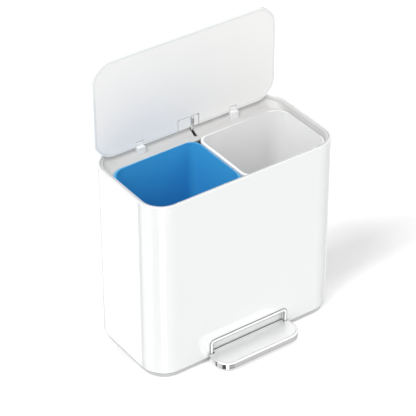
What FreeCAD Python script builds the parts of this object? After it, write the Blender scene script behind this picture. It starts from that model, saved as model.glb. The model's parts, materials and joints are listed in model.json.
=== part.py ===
import FreeCAD, Part
import os
import Sketcher
from FreeCAD import Placement, Rotation, Vector

# Double recycling bin with a pedal, drawn with its lid open and its pedal pressed.
# Millimetres. +X is to the right, +Y to the back, +Z up. The origin is on the floor,
# in the middle of the footprint that the housing and the pedal cover together.

DOC = FreeCAD.newDocument("DoubleRecyclingBin")
SHEET = DOC.addObject("Spreadsheet::Sheet", "Sizes")
TURNS = {
    "x": Rotation(Vector(0, 1, 0), 90),
    "y": Rotation(Vector(1, 0, 0), -90),
    "z": Rotation(),
}
SIDES = {"left": -1, "right": 1}


# --- sizes and formulas ---------------------------------------------------------------


class Size:
    """A size that knows both its formula on the sheet and its present value."""

    def __init__(self, text, value):
        self.text = text
        self.value = value

    def joined(self, sign, other, value):
        return Size(f"({self.text} {sign} {other.text})", value)

    def __add__(self, other):
        other = as_size(other)
        return self.joined("+", other, self.value + other.value)

    def __radd__(self, other):
        return as_size(other) + self

    def __sub__(self, other):
        other = as_size(other)
        return self.joined("-", other, self.value - other.value)

    def __rsub__(self, other):
        return as_size(other) - self

    def __mul__(self, other):
        other = as_size(other)
        return self.joined("*", other, self.value * other.value)

    def __rmul__(self, other):
        return as_size(other) * self

    def __truediv__(self, other):
        other = as_size(other)
        return self.joined("/", other, self.value / other.value)

    def __neg__(self):
        return as_size(0) - self


def as_size(amount):
    """A plain number as a Size. A Size comes back as it is."""
    if isinstance(amount, Size):
        return amount
    return Size(f"({amount!r})" if amount < 0 else repr(amount), amount)


def size(alias, value, meaning):
    """Writes one driving size on the sheet and returns it."""
    size.row += 1
    SHEET.set(f"A{size.row}", meaning)
    SHEET.set(f"B{size.row}", str(value))
    SHEET.setAlias(f"B{size.row}", alias)
    return Size(f"Sizes.{alias}", value)


size.row = 0

body_width = size("body_width", 450, "housing, outer width")
body_depth = size("body_depth", 232, "housing, outer depth")
body_height = size("body_height", 418, "rim top above the floor")
body_corner = size("body_corner", 54, "housing, outer corner radius")
play = size("play", 0.3, "gap between pieces that are fitted together")
running = size("running", 0.05, "radial gap round a pin or rod that turns or slides")

shell_wall = size("shell_wall", 0.8, "housing, steel thickness")
shell_lift = size("shell_lift", 15, "lower edge of the shell above the floor")
hem_width = size("hem_width", 4, "inward hem at the shell's lower edge")

rim_cap = size("rim_cap", 3, "part of the rim that shows above the shell")
rim_width = size("rim_width", 4.5, "rim, width of its top")
rim_round = size("rim_round", 1.3, "rim, rounding of its top edges")
rim_lip = size("rim_lip", 3, "lip under the collar, thickness")
rim_seat = size("rim_seat", 2.5, "lip under the collar, width")

shoulder_drop = size("shoulder_drop", 4, "lid seat below the rim top")
shoulder_inset = size("shoulder_inset", 11, "seat's inner edge from the outside, front and sides")
shoulder_back = size("shoulder_back", 8.3, "seat's inner edge from the outside, at the back")
well_drop = size("well_drop", 9, "top of the collar's slope below the rim top")
ledge_drop = size("ledge_drop", 20, "collar's ledge below the rim top")
ledge_thick = size("ledge_thick", 3, "collar's ledge, thickness")
ledge_side = size("ledge_side", 12, "foot of the side slope from the outside")
ledge_back = size("ledge_back", 27, "foot of the back slope from the outside")
slope_wall = size("slope_wall", 2.9, "back slope, upright thickness")
skirt_wall = size("skirt_wall", 2.3, "collar's outer skirt, thickness")
mouth_play = size("mouth_play", 1, "gap between the buckets' rims and the collar's mouth")
rod_slot = size("rod_slot", 7, "slot in the collar for the rod, width")
slot_play = size("slot_play", 2.7, "slot's ends beyond the rod's travel")

bucket_side = size("bucket_side", 14, "bucket rim from the outside, front and sides")
bucket_back = size("bucket_back", 47, "bucket rim from the outside, at the back")
bucket_split = size("bucket_split", 4, "gap between the two buckets' rims")
bucket_sink = size("bucket_sink", 14, "bucket rims below the rim top")
end_corner = size("end_corner", 36, "bucket, radius of the corners at the ends")
split_corner = size("split_corner", 22, "bucket, radius of the corners at the middle")
bucket_wall = size("bucket_wall", 2, "bucket, wall")
bucket_floor = size("bucket_floor", 2.5, "bucket, floor")
bucket_taper = size("bucket_taper", 9, "bucket, how much each side draws in to the floor")
roll_width = size("roll_width", 2, "bucket, how far the rolled rim stands out")
roll_height = size("roll_height", 7, "bucket, height of the rolled rim")
roll_round = size("roll_round", 1.4, "bucket, rounding of the rolled rim")

shelf_top = size("shelf_top", 84, "shelf that carries the buckets, above the floor")
shelf_thick = size("shelf_thick", 3, "shelf, thickness")
shelf_play = size("shelf_play", 1, "shelf's gap to the shell")
shelf_back = size("shelf_back", 36, "shelf's back edge from the outside")
shelf_corner = size("shelf_corner", 20, "shelf, radius of its back corners")
column_radius = size("column_radius", 7, "shelf column, radius")
column_side = size("column_side", 27, "outer shelf columns from the outside, at the sides")
column_row = size("column_row", 54, "shelf columns from the outside, front and back")
column_lever = size("column_lever", 65, "inner shelf columns from the lever arms")
shelf_screw = size("shelf_screw", 1.5, "shelf screw, shank radius")
shelf_screw_head = size("shelf_screw_head", 3.2, "shelf screw, head radius")
shelf_screw_sink = size("shelf_screw_sink", 1.5, "shelf screw, head height")
shelf_screw_bite = size("shelf_screw_bite", 8, "shelf screw, length in the column")

lid_gap = size("lid_gap", 8.5, "closed lid's edge from the outside")
lid_thick = size("lid_thick", 8, "lid, thickness")
lid_skin = size("lid_skin", 0.8, "lid, steel thickness")
lid_fold = size("lid_fold", 5, "lid, folded edge on its inner face")
lid_round = size("lid_round", 2.2, "lid, rounding of its outer edge")
liner_thick = size("liner_thick", 2, "lid's inner panel, thickness")
liner_rib = size("liner_rib", 1.5, "rib round the lid's inner panel, thickness")
hinge_inset = size("hinge_inset", 14, "hinge axis from the outside, at the back")
hinge_rise = size("hinge_rise", 1.3, "hinge axis above the rim top")
hinge_spread = size("hinge_spread", 226, "distance between the two knuckles")
hinge_pin = size("hinge_pin", 1.8, "hinge pin, radius")
knuckle_width = size("knuckle_width", 17.3, "knuckle, width")
knuckle_radius = size("knuckle_radius", 4.5, "knuckle, barrel radius")
knuckle_front = size("knuckle_front", 11, "knuckle's front face from the hinge axis")
knuckle_gap = size("knuckle_gap", 1, "knuckle's step below the closed lid")
notch_side = size("notch_side", 0.6, "lid notch, gap to each side of the knuckle")
notch_over = size("notch_over", 2, "lid notch, gap over the knuckle")
boss_width = size("boss_width", 7, "lid's boss beside a knuckle, width")
hinge_screw = size("hinge_screw", 1.25, "hinge screw, shank radius")
hinge_screw_head = size("hinge_screw_head", 2.8, "hinge screw, head radius")
hinge_screw_cap = size("hinge_screw_cap", 2, "hinge screw, head height")
hinge_screw_length = size("hinge_screw_length", 9, "hinge screw, shank length")
hinge_screw_front = size("hinge_screw_front", 3, "hinge screw in front of the hinge axis")
bumper_radius = size("bumper_radius", 2.5, "buffer under the closed lid, radius")
bumper_pitch = size("bumper_pitch", 108, "distance between the two buffers of each side")
bumper_side = size("bumper_side", 63, "outer buffers from the outside, at the sides")

rod_x = size("rod_x", 13, "push rod to the right of the middle")
rod_radius = size("rod_radius", 2, "push rod, radius")
crank_rise = size("crank_rise", 13, "rod's hook above the hinge axis, lid open")
crank_front = size("crank_front", 0.8, "rod's hook in front of the hinge axis, lid open")
hook_length = size("hook_length", 12, "rod's hook, length")
hook_block = size("hook_block", 7, "bearing for the rod's hook, length")
hook_wall = size("hook_wall", 2.2, "bearing for the rod's hook, wall over and under it")
plate_left = size("plate_left", 35, "rod plate, left edge from the rod")
plate_right = size("plate_right", 16, "rod plate, right edge from the rod")
plate_above = size("plate_above", 6.8, "rod plate, top above the rod's hook")
plate_thick = size("plate_thick", 1.6, "rod plate, thickness")
plate_slot = size("plate_slot", 8, "slot in the rod plate, width")
foot_radius = size("foot_radius", 6, "rod foot, radius")
foot_height = size("foot_height", 18, "rod foot, height")
channel_width = size("channel_width", 32, "rod channel, width")
channel_wall = size("channel_wall", 1.8, "rod channel, wall")
channel_flange = size("channel_flange", 8, "rod channel, flange on the shell's back")
channel_lift = size("channel_lift", 8, "rod channel above the shelf and below the rim")

lever_shift = size("lever_shift", 16.6, "lever axle behind the middle of the lever")
axle_rise = size("axle_rise", 17.5, "lever axle above the base tray's floor")
axle_radius = size("axle_radius", 3, "lever axle, radius")
axle_end = size("axle_end", 2.5, "axle's ends beyond its posts")
clip_width = size("clip_width", 1, "axle clip, thickness")
clip_rim = size("clip_rim", 2.5, "axle clip, width of its ring")
bush_wall = size("bush_wall", 2, "lever bush, wall")
bush_end = size("bush_end", 1, "bush's ends beyond the arm")
post_width = size("post_width", 6, "axle post, width")
arm_spread = size("arm_spread", 110, "distance between the lever arms")
arm_thick = size("arm_thick", 4, "lever arm, thickness")
arm_depth = size("arm_depth", 10, "lever arm, depth of its bar")
arm_boss = size("arm_boss", 8, "lever arm, half its depth at the axle")
arm_cover = size("arm_cover", 1.5, "lever arm's upper edge under the tread's sheet")
arm_setback = size("arm_setback", 16, "lever arm's front end behind the tread's front edge")
crossbar_rise = size("crossbar_rise", 7, "crossbar's underside above the lever axle")
crossbar_side = size("crossbar_side", 10, "crossbar, section")
rivet_radius = size("rivet_radius", 2, "pedal rivet, radius")
rivet_length = size("rivet_length", 12, "pedal rivet, length")
rivet_setback = size("rivet_setback", 10, "front rivet behind the arm's front end")
stop_width = size("stop_width", 12, "rubber stop, width")
stop_depth = size("stop_depth", 16, "rubber stop, depth")
stop_setback = size("stop_setback", 26, "rubber stop behind the shell's front face")

tray_wall = size("tray_wall", 2.5, "base tray, wall")
tray_floor = size("tray_floor", 3, "base tray, floor")
tray_inset = size("tray_inset", 6, "base ring's face behind the shell's face")
flange_inset = size("flange_inset", 0.5, "edge of the flange under the shell from the outside")
flange_thick = size("flange_thick", 2, "flange that the shell stands on, thickness")
spigot_height = size("spigot_height", 13, "wall that stands up inside the shell, height")
rubber_drop = size("rubber_drop", 1.5, "how far the rubber feet stand out")
rubber_radius = size("rubber_radius", 11, "rubber foot, radius")
rubber_side = size("rubber_side", 45, "rubber feet from the outside, at the sides")
rubber_row = size("rubber_row", 39, "rubber feet from the outside, front and back")

frame_half = size("frame_half", 95.5, "pedal frame, half its outer width")
frame_top = size("frame_top", 54, "pedal frame, top above the floor")
frame_foot = size("frame_foot", 6, "pedal frame, lower end above the floor")
frame_band = size("frame_band", 5.5, "pedal frame, width of its face")
frame_proud = size("frame_proud", 2.5, "pedal frame, how far it stands off the shell")
frame_sleeve = size("frame_sleeve", 6.5, "pedal frame's sleeve, depth behind the shell's face")
frame_lining = size("frame_lining", 2, "pedal frame's sleeve, wall")
frame_corner = size("frame_corner", 9, "pedal frame, outer corner radius")

pedal_reach = size("pedal_reach", 54.5, "tread's front edge from the shell's face")
pedal_side = size("pedal_side", 5, "tread beyond the frame, each side")
pedal_corner = size("pedal_corner", 29, "tread, front corner radius")
pedal_top = size("pedal_top", 23.7, "tread above the floor, pressed")
pedal_skirt = size("pedal_skirt", 13, "tread, depth of its folded edge")
pedal_sheet = size("pedal_sheet", 1.2, "tread, steel thickness")
pedal_round = size("pedal_round", 4, "tread, rounding of its front edge")
pedal_edge = size("pedal_edge", 2.4, "tread's hollow from its outside")
pedal_swing = size("pedal_swing", 2.6, "tread's back edge in front of the pedal frame")
tongue_side = size("tongue_side", 3, "gap between the tread's tongue and the frame's sides")
tongue_gap = size("tongue_gap", 2.7, "gap between the tongue and the shutter")
tongue_root = size("tongue_root", 3, "tongue's root under the tread")
core_lift = size("core_lift", 1, "core's underside above the tread's lower edge")
shutter_gap = size("shutter_gap", 0.7, "gap between the sleeve and the shutter")
shutter_lap = size("shutter_lap", 3, "shutter behind the sleeve, each side")
shutter_over = size("shutter_over", 2, "shutter above the frame, pedal pressed")
shutter_thick = size("shutter_thick", 2, "shutter, thickness")
shutter_foot = size("shutter_foot", 8, "shutter, depth of the foot that it stands on")

damper_left = size("damper_left", 38, "damper to the left of the middle")
damper_radius = size("damper_radius", 8, "damper cylinder, radius")
damper_bore = size("damper_bore", 5.5, "damper cylinder, bore radius")
damper_end = size("damper_end", 3, "damper cylinder, end walls")
damper_rise = size("damper_rise", 17, "damper cylinder above the crossbar")
damper_length = size("damper_length", 54, "damper cylinder, length")
piston_rod = size("piston_rod", 2.5, "damper piston rod, radius")
piston_head = size("piston_head", 6, "damper piston head, height")
piston_rest = size("piston_rest", 2, "gap over the piston head at rest")
tip_height = size("tip_height", 5, "damper tip, height")
tip_wall = size("tip_wall", 2, "damper tip, wall")
ring_wall = size("ring_wall", 2.5, "damper bracket, ring wall")
ring_height = size("ring_height", 24, "damper bracket, height")
bracket_width = size("bracket_width", 34, "damper bracket, width of its plate")
bracket_plate = size("bracket_plate", 2, "damper bracket, plate thickness")
bracket_arm = size("bracket_arm", 12, "damper bracket, arm width")

# Places that several pieces share.
BACK = (body_depth + pedal_reach) / 2
FRONT = BACK - body_depth
HALF = body_width / 2
RIM = body_height
SEAT = RIM - shoulder_drop
WELL = RIM - well_drop
LEDGE = RIM - ledge_drop
COLLAR_LOW = LEDGE - ledge_thick
COLLAR_INSET = rim_width + play
BUCKET_TOP = RIM - bucket_sink
SHELF_LOW = shelf_top - shelf_thick
HINGE_X = hinge_spread / 2
HINGE_Y = BACK - hinge_inset
HINGE_Z = RIM + hinge_rise
LID_UNDER = HINGE_Z - lid_thick / 2
LID_FACE = HINGE_Y - lid_thick / 2
LID_BACK = LID_FACE + lid_thick
LID_ROOM = LID_BACK - lid_skin
LID_LOW = HINGE_Z - (hinge_inset - lid_gap)
LID_TOP = LID_LOW + body_depth - 2 * lid_gap
LID_HALF = HALF - lid_gap
NOTCH_TOP = HINGE_Z + knuckle_radius + notch_over
SCREW_Y = HINGE_Y - hinge_screw_front
HOOK_Y = HINGE_Y - crank_front
HOOK_Z = HINGE_Z + crank_rise
SLOT_FRONT = HOOK_Y - crank_rise - rod_radius - slot_play
SLOT_BACK = HOOK_Y + rod_radius + slot_play
TRAY_LOW = rubber_drop + tray_floor
FLANGE_LOW = shell_lift - flange_thick
SPIGOT_INSET = hem_width + play
SPIGOT_TOP = shell_lift + spigot_height
OPENING_HALF = frame_half - frame_band
SLEEVE_HALF = OPENING_HALF + frame_lining
SLEEVE_TOP = frame_top - frame_band + frame_lining
SLEEVE_CORNER = frame_corner - frame_band + frame_lining
FRAME_Y = FRONT - frame_proud
SLEEVE_BACK = FRONT + frame_sleeve
SHUTTER_Y = SLEEVE_BACK + shutter_gap
CORE_BACK = SHUTTER_Y + shutter_foot
TREAD_BACK = FRAME_Y - pedal_swing
TREAD_FRONT = FRONT - pedal_reach
TREAD_LOW = pedal_top - pedal_skirt
CORE_TOP = pedal_top - pedal_sheet
TONGUE_HALF = OPENING_HALF - tongue_side
ARM_TOP = CORE_TOP - arm_cover
ARM_LOW = ARM_TOP - arm_depth
ARM_FRONT = TREAD_FRONT + arm_setback
AXLE_Y = (FRONT + HOOK_Y) / 2 + lever_shift
AXLE_Z = TRAY_LOW + axle_rise
BUSH_RADIUS = axle_radius + running + bush_wall
BUSH_LENGTH = arm_thick + 2 * bush_end
POST_X = arm_spread / 2 + BUSH_LENGTH / 2 + play + post_width / 2
CROSSBAR_LOW = AXLE_Z + crossbar_rise
CROSSBAR_TOP = CROSSBAR_LOW + crossbar_side
RIDER_LOW = CROSSBAR_TOP + play
DAMPER_X = -damper_left
DAMPER_LOW = CROSSBAR_TOP + damper_rise
DAMPER_TOP = DAMPER_LOW + damper_length

# Cutting tools run this far past the faces that they cut through.
PAST = 1


# --- building blocks ------------------------------------------------------------------


def bind(thing, prop, amount):
    """Ties a property to a formula."""
    thing.setExpression(prop, as_size(amount).text)


def span(middle, width):
    """The two ends of a width about its middle."""
    return as_size(middle) - as_size(width) / 2, as_size(middle) + as_size(width) / 2


def add(kind, name):
    """A new object that is labelled with its own name."""
    thing = DOC.addObject(kind, name)
    thing.Label = name
    return thing


def block(name, xs, ys, zs):
    """A box between three pairs of ends."""
    box = add("Part::Box", name)
    for prop, (low, high) in zip(("Length", "Width", "Height"), (xs, ys, zs)):
        bind(box, prop, as_size(high) - low)
    for axis, (low, _) in zip("xyz", (xs, ys, zs)):
        bind(box, f"Placement.Base.{axis}", low)
    return box


def bar(name, axis, start, radius, length):
    """A round bar along one axis, from its start point."""
    shape = add("Part::Cylinder", name)
    shape.Placement = Placement(Vector(), TURNS[axis])
    bind(shape, "Radius", radius)
    bind(shape, "Height", length)
    for letter, place in zip("xyz", start):
        bind(shape, f"Placement.Base.{letter}", place)
    return shape


def hole(name, axis, start, radius, length):
    """A round cutting tool that runs past both ends of the stretch that it cuts."""
    start = list(start)
    letter = "xyz".index(axis)
    start[letter] = as_size(start[letter]) - PAST
    return bar(name, axis, start, radius, as_size(length) + 2 * PAST)


def joined(name, *pieces):
    """Several shapes fused into one solid."""
    shape = add("Part::MultiFuse", name)
    shape.Shapes = list(pieces)
    return shape


def cut(name, base, *tools):
    """A shape with one or more tools taken out of it."""
    shape = add("Part::Cut", name)
    shape.Base = base
    shape.Tool = tools[0] if len(tools) == 1 else joined(f"{name}_tools", *tools)
    return shape


def group(name, pieces):
    """Like pieces that stay separate solids in one node."""
    shape = add("Part::Compound", name)
    shape.Links = list(pieces)
    return shape


def sketch(body, name, plane, height):
    """A sketch on one of the body's own origin planes, set off by a height."""
    drawing = body.newObject("Sketcher::SketchObject", f"{body.Name}_{name}")
    origin = next(o for o in body.Origin.OriginFeatures if o.Role == plane)
    drawing.AttachmentSupport = (origin, [""])
    drawing.MapMode = "FlatFace"
    bind(drawing, "AttachmentOffset.Base.z", height)
    return drawing


def as_vector(point):
    """A point of sizes as a plain vector."""
    return Vector(point[0].value, point[1].value, 0)


def tie(drawing, constraint, name, amount):
    """Adds a named constraint and ties it to a formula."""
    index = drawing.addConstraint(constraint)
    drawing.renameConstraint(index, name)
    drawing.setExpression(f"Constraints.{name}", amount.text)


def tie_point(drawing, edge, end, point, name):
    """Ties one end of an edge to two formulas, measured from the sketch's origin."""
    for kind, letter, amount in zip(("DistanceX", "DistanceY"), "XY", point):
        tie(drawing, Sketcher.Constraint(kind, -1, 1, edge, end, amount.value), name + letter, amount)


def heading(start, end):
    """The direction from one corner to the next along an axis, as -1, 0 or 1 each way."""
    steps = [there.value - here.value for here, there in zip(start, end)]
    return [(step > 0) - (step < 0) for step in steps]


def draw_corner(drawing, name, centre, radius, ends, lines):
    """A quarter circle from the first end anticlockwise to the second, joined to two lines."""
    angles = []
    for end in ends:
        arm = as_vector(end) - as_vector(centre)
        angle = arm.getAngle(Vector(1, 0, 0))
        angles.append(-angle if arm.y < 0 else angle)
    circle = Part.Circle(as_vector(centre), Vector(0, 0, 1), radius.value)
    arc = drawing.addGeometry(Part.ArcOfCircle(circle, *angles), False)
    for arc_end, (line, line_end) in zip((1, 2), lines):
        drawing.addConstraint(Sketcher.Constraint("Coincident", arc, arc_end, line, line_end))
    tie(drawing, Sketcher.Constraint("Radius", arc, radius.value), name, radius)


def outline(drawing, corners):
    """Draws a closed outline of lines.

    A corner is (x, y), or (x, y, radius) for a rounded one between lines along the axes.
    """
    points = [(as_size(corner[0]), as_size(corner[1])) for corner in corners]
    count = len(points)
    entries = list(points)
    exits = list(points)
    centres = {}
    for i, corner in enumerate(corners):
        if len(corner) == 2:
            continue
        radius = as_size(corner[2])
        way_in = heading(points[i - 1], points[i])
        way_out = heading(points[i], points[(i + 1) % count])
        entries[i] = tuple(p - d * radius for p, d in zip(points[i], way_in))
        exits[i] = tuple(p + d * radius for p, d in zip(points[i], way_out))
        centres[i] = tuple(p + (b - a) * radius for p, a, b in zip(points[i], way_in, way_out))
    for i in range(count):
        end = entries[(i + 1) % count]
        drawing.addGeometry(Part.LineSegment(as_vector(exits[i]), as_vector(end)), False)
        tie_point(drawing, i, 1, exits[i], f"start{i}")
        tie_point(drawing, i, 2, end, f"end{i}")
    for i, centre in centres.items():
        ends = [entries[i], exits[i]]
        lines = [((i - 1) % count, 2), (i, 1)]
        turn = (as_vector(ends[0]) - as_vector(centre)).cross(as_vector(ends[1]) - as_vector(centre))
        if turn.z < 0:
            ends.reverse()
            lines.reverse()
        draw_corner(drawing, f"corner{i}", centre, as_size(corners[i][2]), ends, lines)
    return drawing


def rectangle(xs, ys, radii=None):
    """Corners of a rectangle, anticlockwise from front left, with one radius, four or none."""
    radii = radii if isinstance(radii, tuple) else (radii,) * 4
    places = ((xs[0], ys[0]), (xs[1], ys[0]), (xs[1], ys[1]), (xs[0], ys[1]))
    return [place if radius is None else place + (radius,) for place, radius in zip(places, radii)]


def arch(half, low, high, radius):
    """Front view of a doorway: square at its foot and rounded at its top."""
    return rectangle((-half, half), (low, high), (None, None, radius, radius))


def ring_corners(inset, back=None):
    """The housing's outline drawn in by an inset, and by another at the back if given."""
    back = inset if back is None else back
    return rectangle((inset - HALF, HALF - inset), (FRONT + inset, BACK - back), body_corner - inset)


def feature(body, kind, profile, length, reverse=False):
    """A pad or pocket of a sketch."""
    thing = body.newObject(f"PartDesign::{kind}", f"{profile.Name}_{kind.lower()}")
    thing.Profile = profile
    bind(thing, "Length", length)
    thing.Reversed = reverse
    return thing


def pad(body, name, corners, low, high):
    """A plan outline raised from one height to another."""
    profile = outline(sketch(body, name, "XY_Plane", low), corners)
    return feature(body, "Pad", profile, as_size(high) - low)


def pocket(body, name, corners, low, high):
    """A plan outline cut away between two heights."""
    profile = outline(sketch(body, name, "XY_Plane", high), corners)
    return feature(body, "Pocket", profile, as_size(high) - low)


def front_view(body, kind, name, corners, near, far):
    """An outline of X and Z, padded or cut from near to far along +Y."""
    profile = outline(sketch(body, name, "XZ_Plane", -as_size(near)), corners)
    return feature(body, kind, profile, as_size(far) - near, reverse=kind == "Pad")


def side_view(body, kind, name, corners, left, right):
    """An outline of Y and Z, padded or cut from left to right along +X."""
    profile = outline(sketch(body, name, "YZ_Plane", left), corners)
    return feature(body, kind, profile, as_size(right) - left, reverse=kind == "Pocket")


def loft(body, kind, name, low, high):
    """A straight-sided loft between two plan outlines, each given as (height, corners)."""
    sections = [
        outline(sketch(body, f"{name}_{end}", "XY_Plane", height), corners)
        for end, (height, corners) in (("low", low), ("high", high))
    ]
    thing = body.newObject(f"PartDesign::{kind}", f"{body.Name}_{name}")
    thing.Profile = sections[0]
    thing.Sections = sections[1:]
    thing.Ruled = True
    return thing


def round_edges(body, name, radius, wanted):
    """Rounds the edges of the body's last feature whose bounding boxes pass a test."""
    DOC.recompute()
    base = body.Tip
    edges = [f"Edge{i}" for i, edge in enumerate(base.Shape.Edges, 1) if wanted(edge.BoundBox)]
    thing = body.newObject("PartDesign::Fillet", f"{body.Name}_{name}")
    thing.Base = (base, edges)
    bind(thing, "Radius", radius)
    return thing


def flat_at(axis, place):
    """A test for edges that lie in one plane."""
    return lambda box: all(
        abs(getattr(box, axis + end) - place.value) < 1e-4 for end in ("Min", "Max"))


def new_body(name):
    """An empty body."""
    return add("PartDesign::Body", name)


# --- housing --------------------------------------------------------------------------


def make_shell():
    """Steel tube with a hem below and a cut-out for the pedal."""
    body = new_body("body_shell")
    top = RIM - rim_cap
    hem_top = shell_lift + shell_wall
    pad(body, "outside", ring_corners(as_size(0)), shell_lift, top)
    pocket(body, "inside", ring_corners(shell_wall), hem_top, top)
    pocket(body, "hem", ring_corners(hem_width), shell_lift, hem_top)
    opening = arch(SLEEVE_HALF + play, as_size(0), SLEEVE_TOP + play, SLEEVE_CORNER + play)
    front_view(body, "Pocket", "opening", opening, FRONT - PAST, FRONT + hem_width + PAST)
    return body


def make_rim():
    """Ring that caps the shell. Its skirt ends in a lip that carries the collar."""
    body = new_body("top_rim")
    lip_low = COLLAR_LOW - rim_lip
    pad(body, "skirt", ring_corners(shell_wall + play), lip_low, RIM - rim_cap)
    pad(body, "cap", ring_corners(as_size(0)), RIM - rim_cap, RIM)
    pocket(body, "inside", ring_corners(rim_width), COLLAR_LOW, RIM)
    pocket(body, "lip", ring_corners(COLLAR_INSET + rim_seat), lip_low, COLLAR_LOW)
    round_edges(body, "rounding", rim_round, flat_at("Z", RIM))
    return body


def slope_height(y):
    """Height of the collar's back slope at a place in depth."""
    share = (BACK - shoulder_back - y) / (ledge_back - shoulder_back)
    return WELL - (ledge_drop - well_drop) * share


def screw_seat():
    """Height of the flat seats under the collar's slope for the hinge screws."""
    return slope_height(SCREW_Y) - slope_wall


def make_collar():
    """Moulding between the rim and the buckets: lid seat, well, slope, ledge and rod slot."""
    body = new_body("collar_blank")
    well = ring_corners(shoulder_inset, shoulder_back)
    ledge = rectangle(
        (ledge_side - HALF, HALF - ledge_side),
        (FRONT + ledge_side, BACK - ledge_back),
        body_corner - ledge_side,
    )
    mouth_inset = bucket_side - mouth_play
    mouth = rectangle(
        (mouth_inset - HALF, HALF - mouth_inset),
        (FRONT + mouth_inset, BACK - bucket_back + mouth_play),
        end_corner + mouth_play,
    )
    pad(body, "outside", ring_corners(COLLAR_INSET), COLLAR_LOW, SEAT)
    pocket(body, "well", well, WELL, SEAT)
    loft(body, "SubtractiveLoft", "slope", (LEDGE, ledge), (WELL, well))
    pocket(body, "mouth", mouth, COLLAR_LOW, LEDGE)
    hollow_top = WELL - slope_wall
    slope_top = BACK - shoulder_back
    run = (ledge_back - shoulder_back) * (hollow_top - COLLAR_LOW) / (WELL - LEDGE)
    skirt_face = BACK - COLLAR_INSET - skirt_wall
    hollow = [
        (slope_top - run, COLLAR_LOW),
        (skirt_face, COLLAR_LOW),
        (skirt_face, hollow_top),
        (slope_top, hollow_top),
    ]
    side_view(body, "Pocket", "hollow", hollow, body_corner - HALF, HALF - body_corner)
    slot = rectangle(span(rod_x, rod_slot), (SLOT_FRONT, SLOT_BACK), rod_slot / 4)
    pocket(body, "rod_slot", slot, COLLAR_LOW, SEAT)
    bores = []
    for name, side in SIDES.items():
        x = side * HINGE_X
        low = COLLAR_LOW - PAST
        bores.append(bar(f"collar_shank_{name}", "z", (x, SCREW_Y, low), hinge_screw + running, ledge_drop))
        bores.append(bar(f"collar_seat_{name}", "z", (x, SCREW_Y, low), hinge_screw_head + play,
                         screw_seat() - low))
    return cut("inner_collar", body, *bores)


def make_knuckle(name, x):
    """Hinge bracket: a stepped foot on the slope with a barrel on the hinge axis."""
    front = HINGE_Y - knuckle_front
    neck = HINGE_Y - knuckle_radius
    rear = HINGE_Y + knuckle_radius
    step = LID_UNDER - knuckle_gap
    left, right = span(x, knuckle_width)
    foot = new_body(f"{name}_foot")
    side = [
        (front, slope_height(front)),
        (rear, slope_height(rear)),
        (rear, HINGE_Z),
        (neck, HINGE_Z),
        (neck, step),
        (front, step),
    ]
    side_view(foot, "Pad", "side", side, left, right)
    barrel = bar(f"{name}_barrel", "x", (left, HINGE_Y, HINGE_Z), knuckle_radius, knuckle_width)
    pin_hole = hole(f"{name}_pin_hole", "x", (left, HINGE_Y, HINGE_Z), hinge_pin + running, knuckle_width)
    screw_hole = bar(f"{name}_screw_hole", "z", (x, SCREW_Y, COLLAR_LOW), hinge_screw + running,
                     screw_seat() + hinge_screw_length + play - COLLAR_LOW)
    return cut(name, joined(f"{name}_whole", foot, barrel), pin_hole, screw_hole)


def make_hinge_pin(name, x):
    """Steel pin through a knuckle and the lid's bosses beside it."""
    left, right = span(x, knuckle_width + 2 * notch_side + 2 * boss_width)
    return bar(name, "x", (left, HINGE_Y, HINGE_Z), hinge_pin, right - left)


def make_hinge_screws():
    """One screw from below the collar's slope into each knuckle."""
    screws = []
    for name, side in SIDES.items():
        x = side * HINGE_X
        head = bar(f"hinge_screw_head_{name}", "z", (x, SCREW_Y, screw_seat() - hinge_screw_cap),
                   hinge_screw_head, hinge_screw_cap)
        shank = bar(f"hinge_screw_shank_{name}", "z", (x, SCREW_Y, screw_seat()), hinge_screw,
                    hinge_screw_length)
        screws.append(joined(f"hinge_screw_{name}", head, shank))
    return group("hinge_screws", screws)


def make_bumpers():
    """Rubber buffers on the seat, under the closed lid's front edge."""
    y = FRONT + (COLLAR_INSET + shoulder_inset) / 2
    height = LID_UNDER - SEAT - play
    outer = HALF - bumper_side
    return group("collar_bumpers", [
        bar(f"bumper_{name}_{place}", "z", (side * x, y, SEAT), bumper_radius, height)
        for name, side in SIDES.items()
        for place, x in (("outer", outer), ("inner", outer - bumper_pitch))
    ])


def make_bucket(name, side):
    """Tapered bucket with a rolled rim. side is -1 at the left and 1 at the right."""
    body = new_body(name)

    def drawn_in(corner, inset):
        return corner / (1 + inset / corner)

    def corners(inset):
        near = bucket_split / 2 + inset
        far = HALF - bucket_side - inset
        ys = (FRONT + bucket_side + inset, BACK - bucket_back - inset)
        end = drawn_in(end_corner, inset)
        split = drawn_in(split_corner, inset)
        if side < 0:
            return rectangle((-far, -near), ys, (end, split, split, end))
        return rectangle((near, far), ys, (split, end, end, split))

    foot = roll_width + bucket_taper
    loft(body, "AdditiveLoft", "outside", (shelf_top, corners(foot)), (BUCKET_TOP, corners(roll_width)))
    pad(body, "roll", corners(as_size(0)), BUCKET_TOP - roll_height, BUCKET_TOP)
    loft(body, "SubtractiveLoft", "inside", (shelf_top + bucket_floor, corners(foot + bucket_wall)),
         (BUCKET_TOP, corners(roll_width + bucket_wall)))
    round_edges(body, "rounding", roll_round, flat_at("Z", BUCKET_TOP))
    return body


def column_places():
    """Where the shelf's columns stand on the base tray."""
    xs = (HALF - column_side, arm_spread / 2 + column_lever)
    return [(side * x, y) for x in xs for side in (-1, 1)
            for y in (FRONT + column_row, BACK - column_row)]


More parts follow.
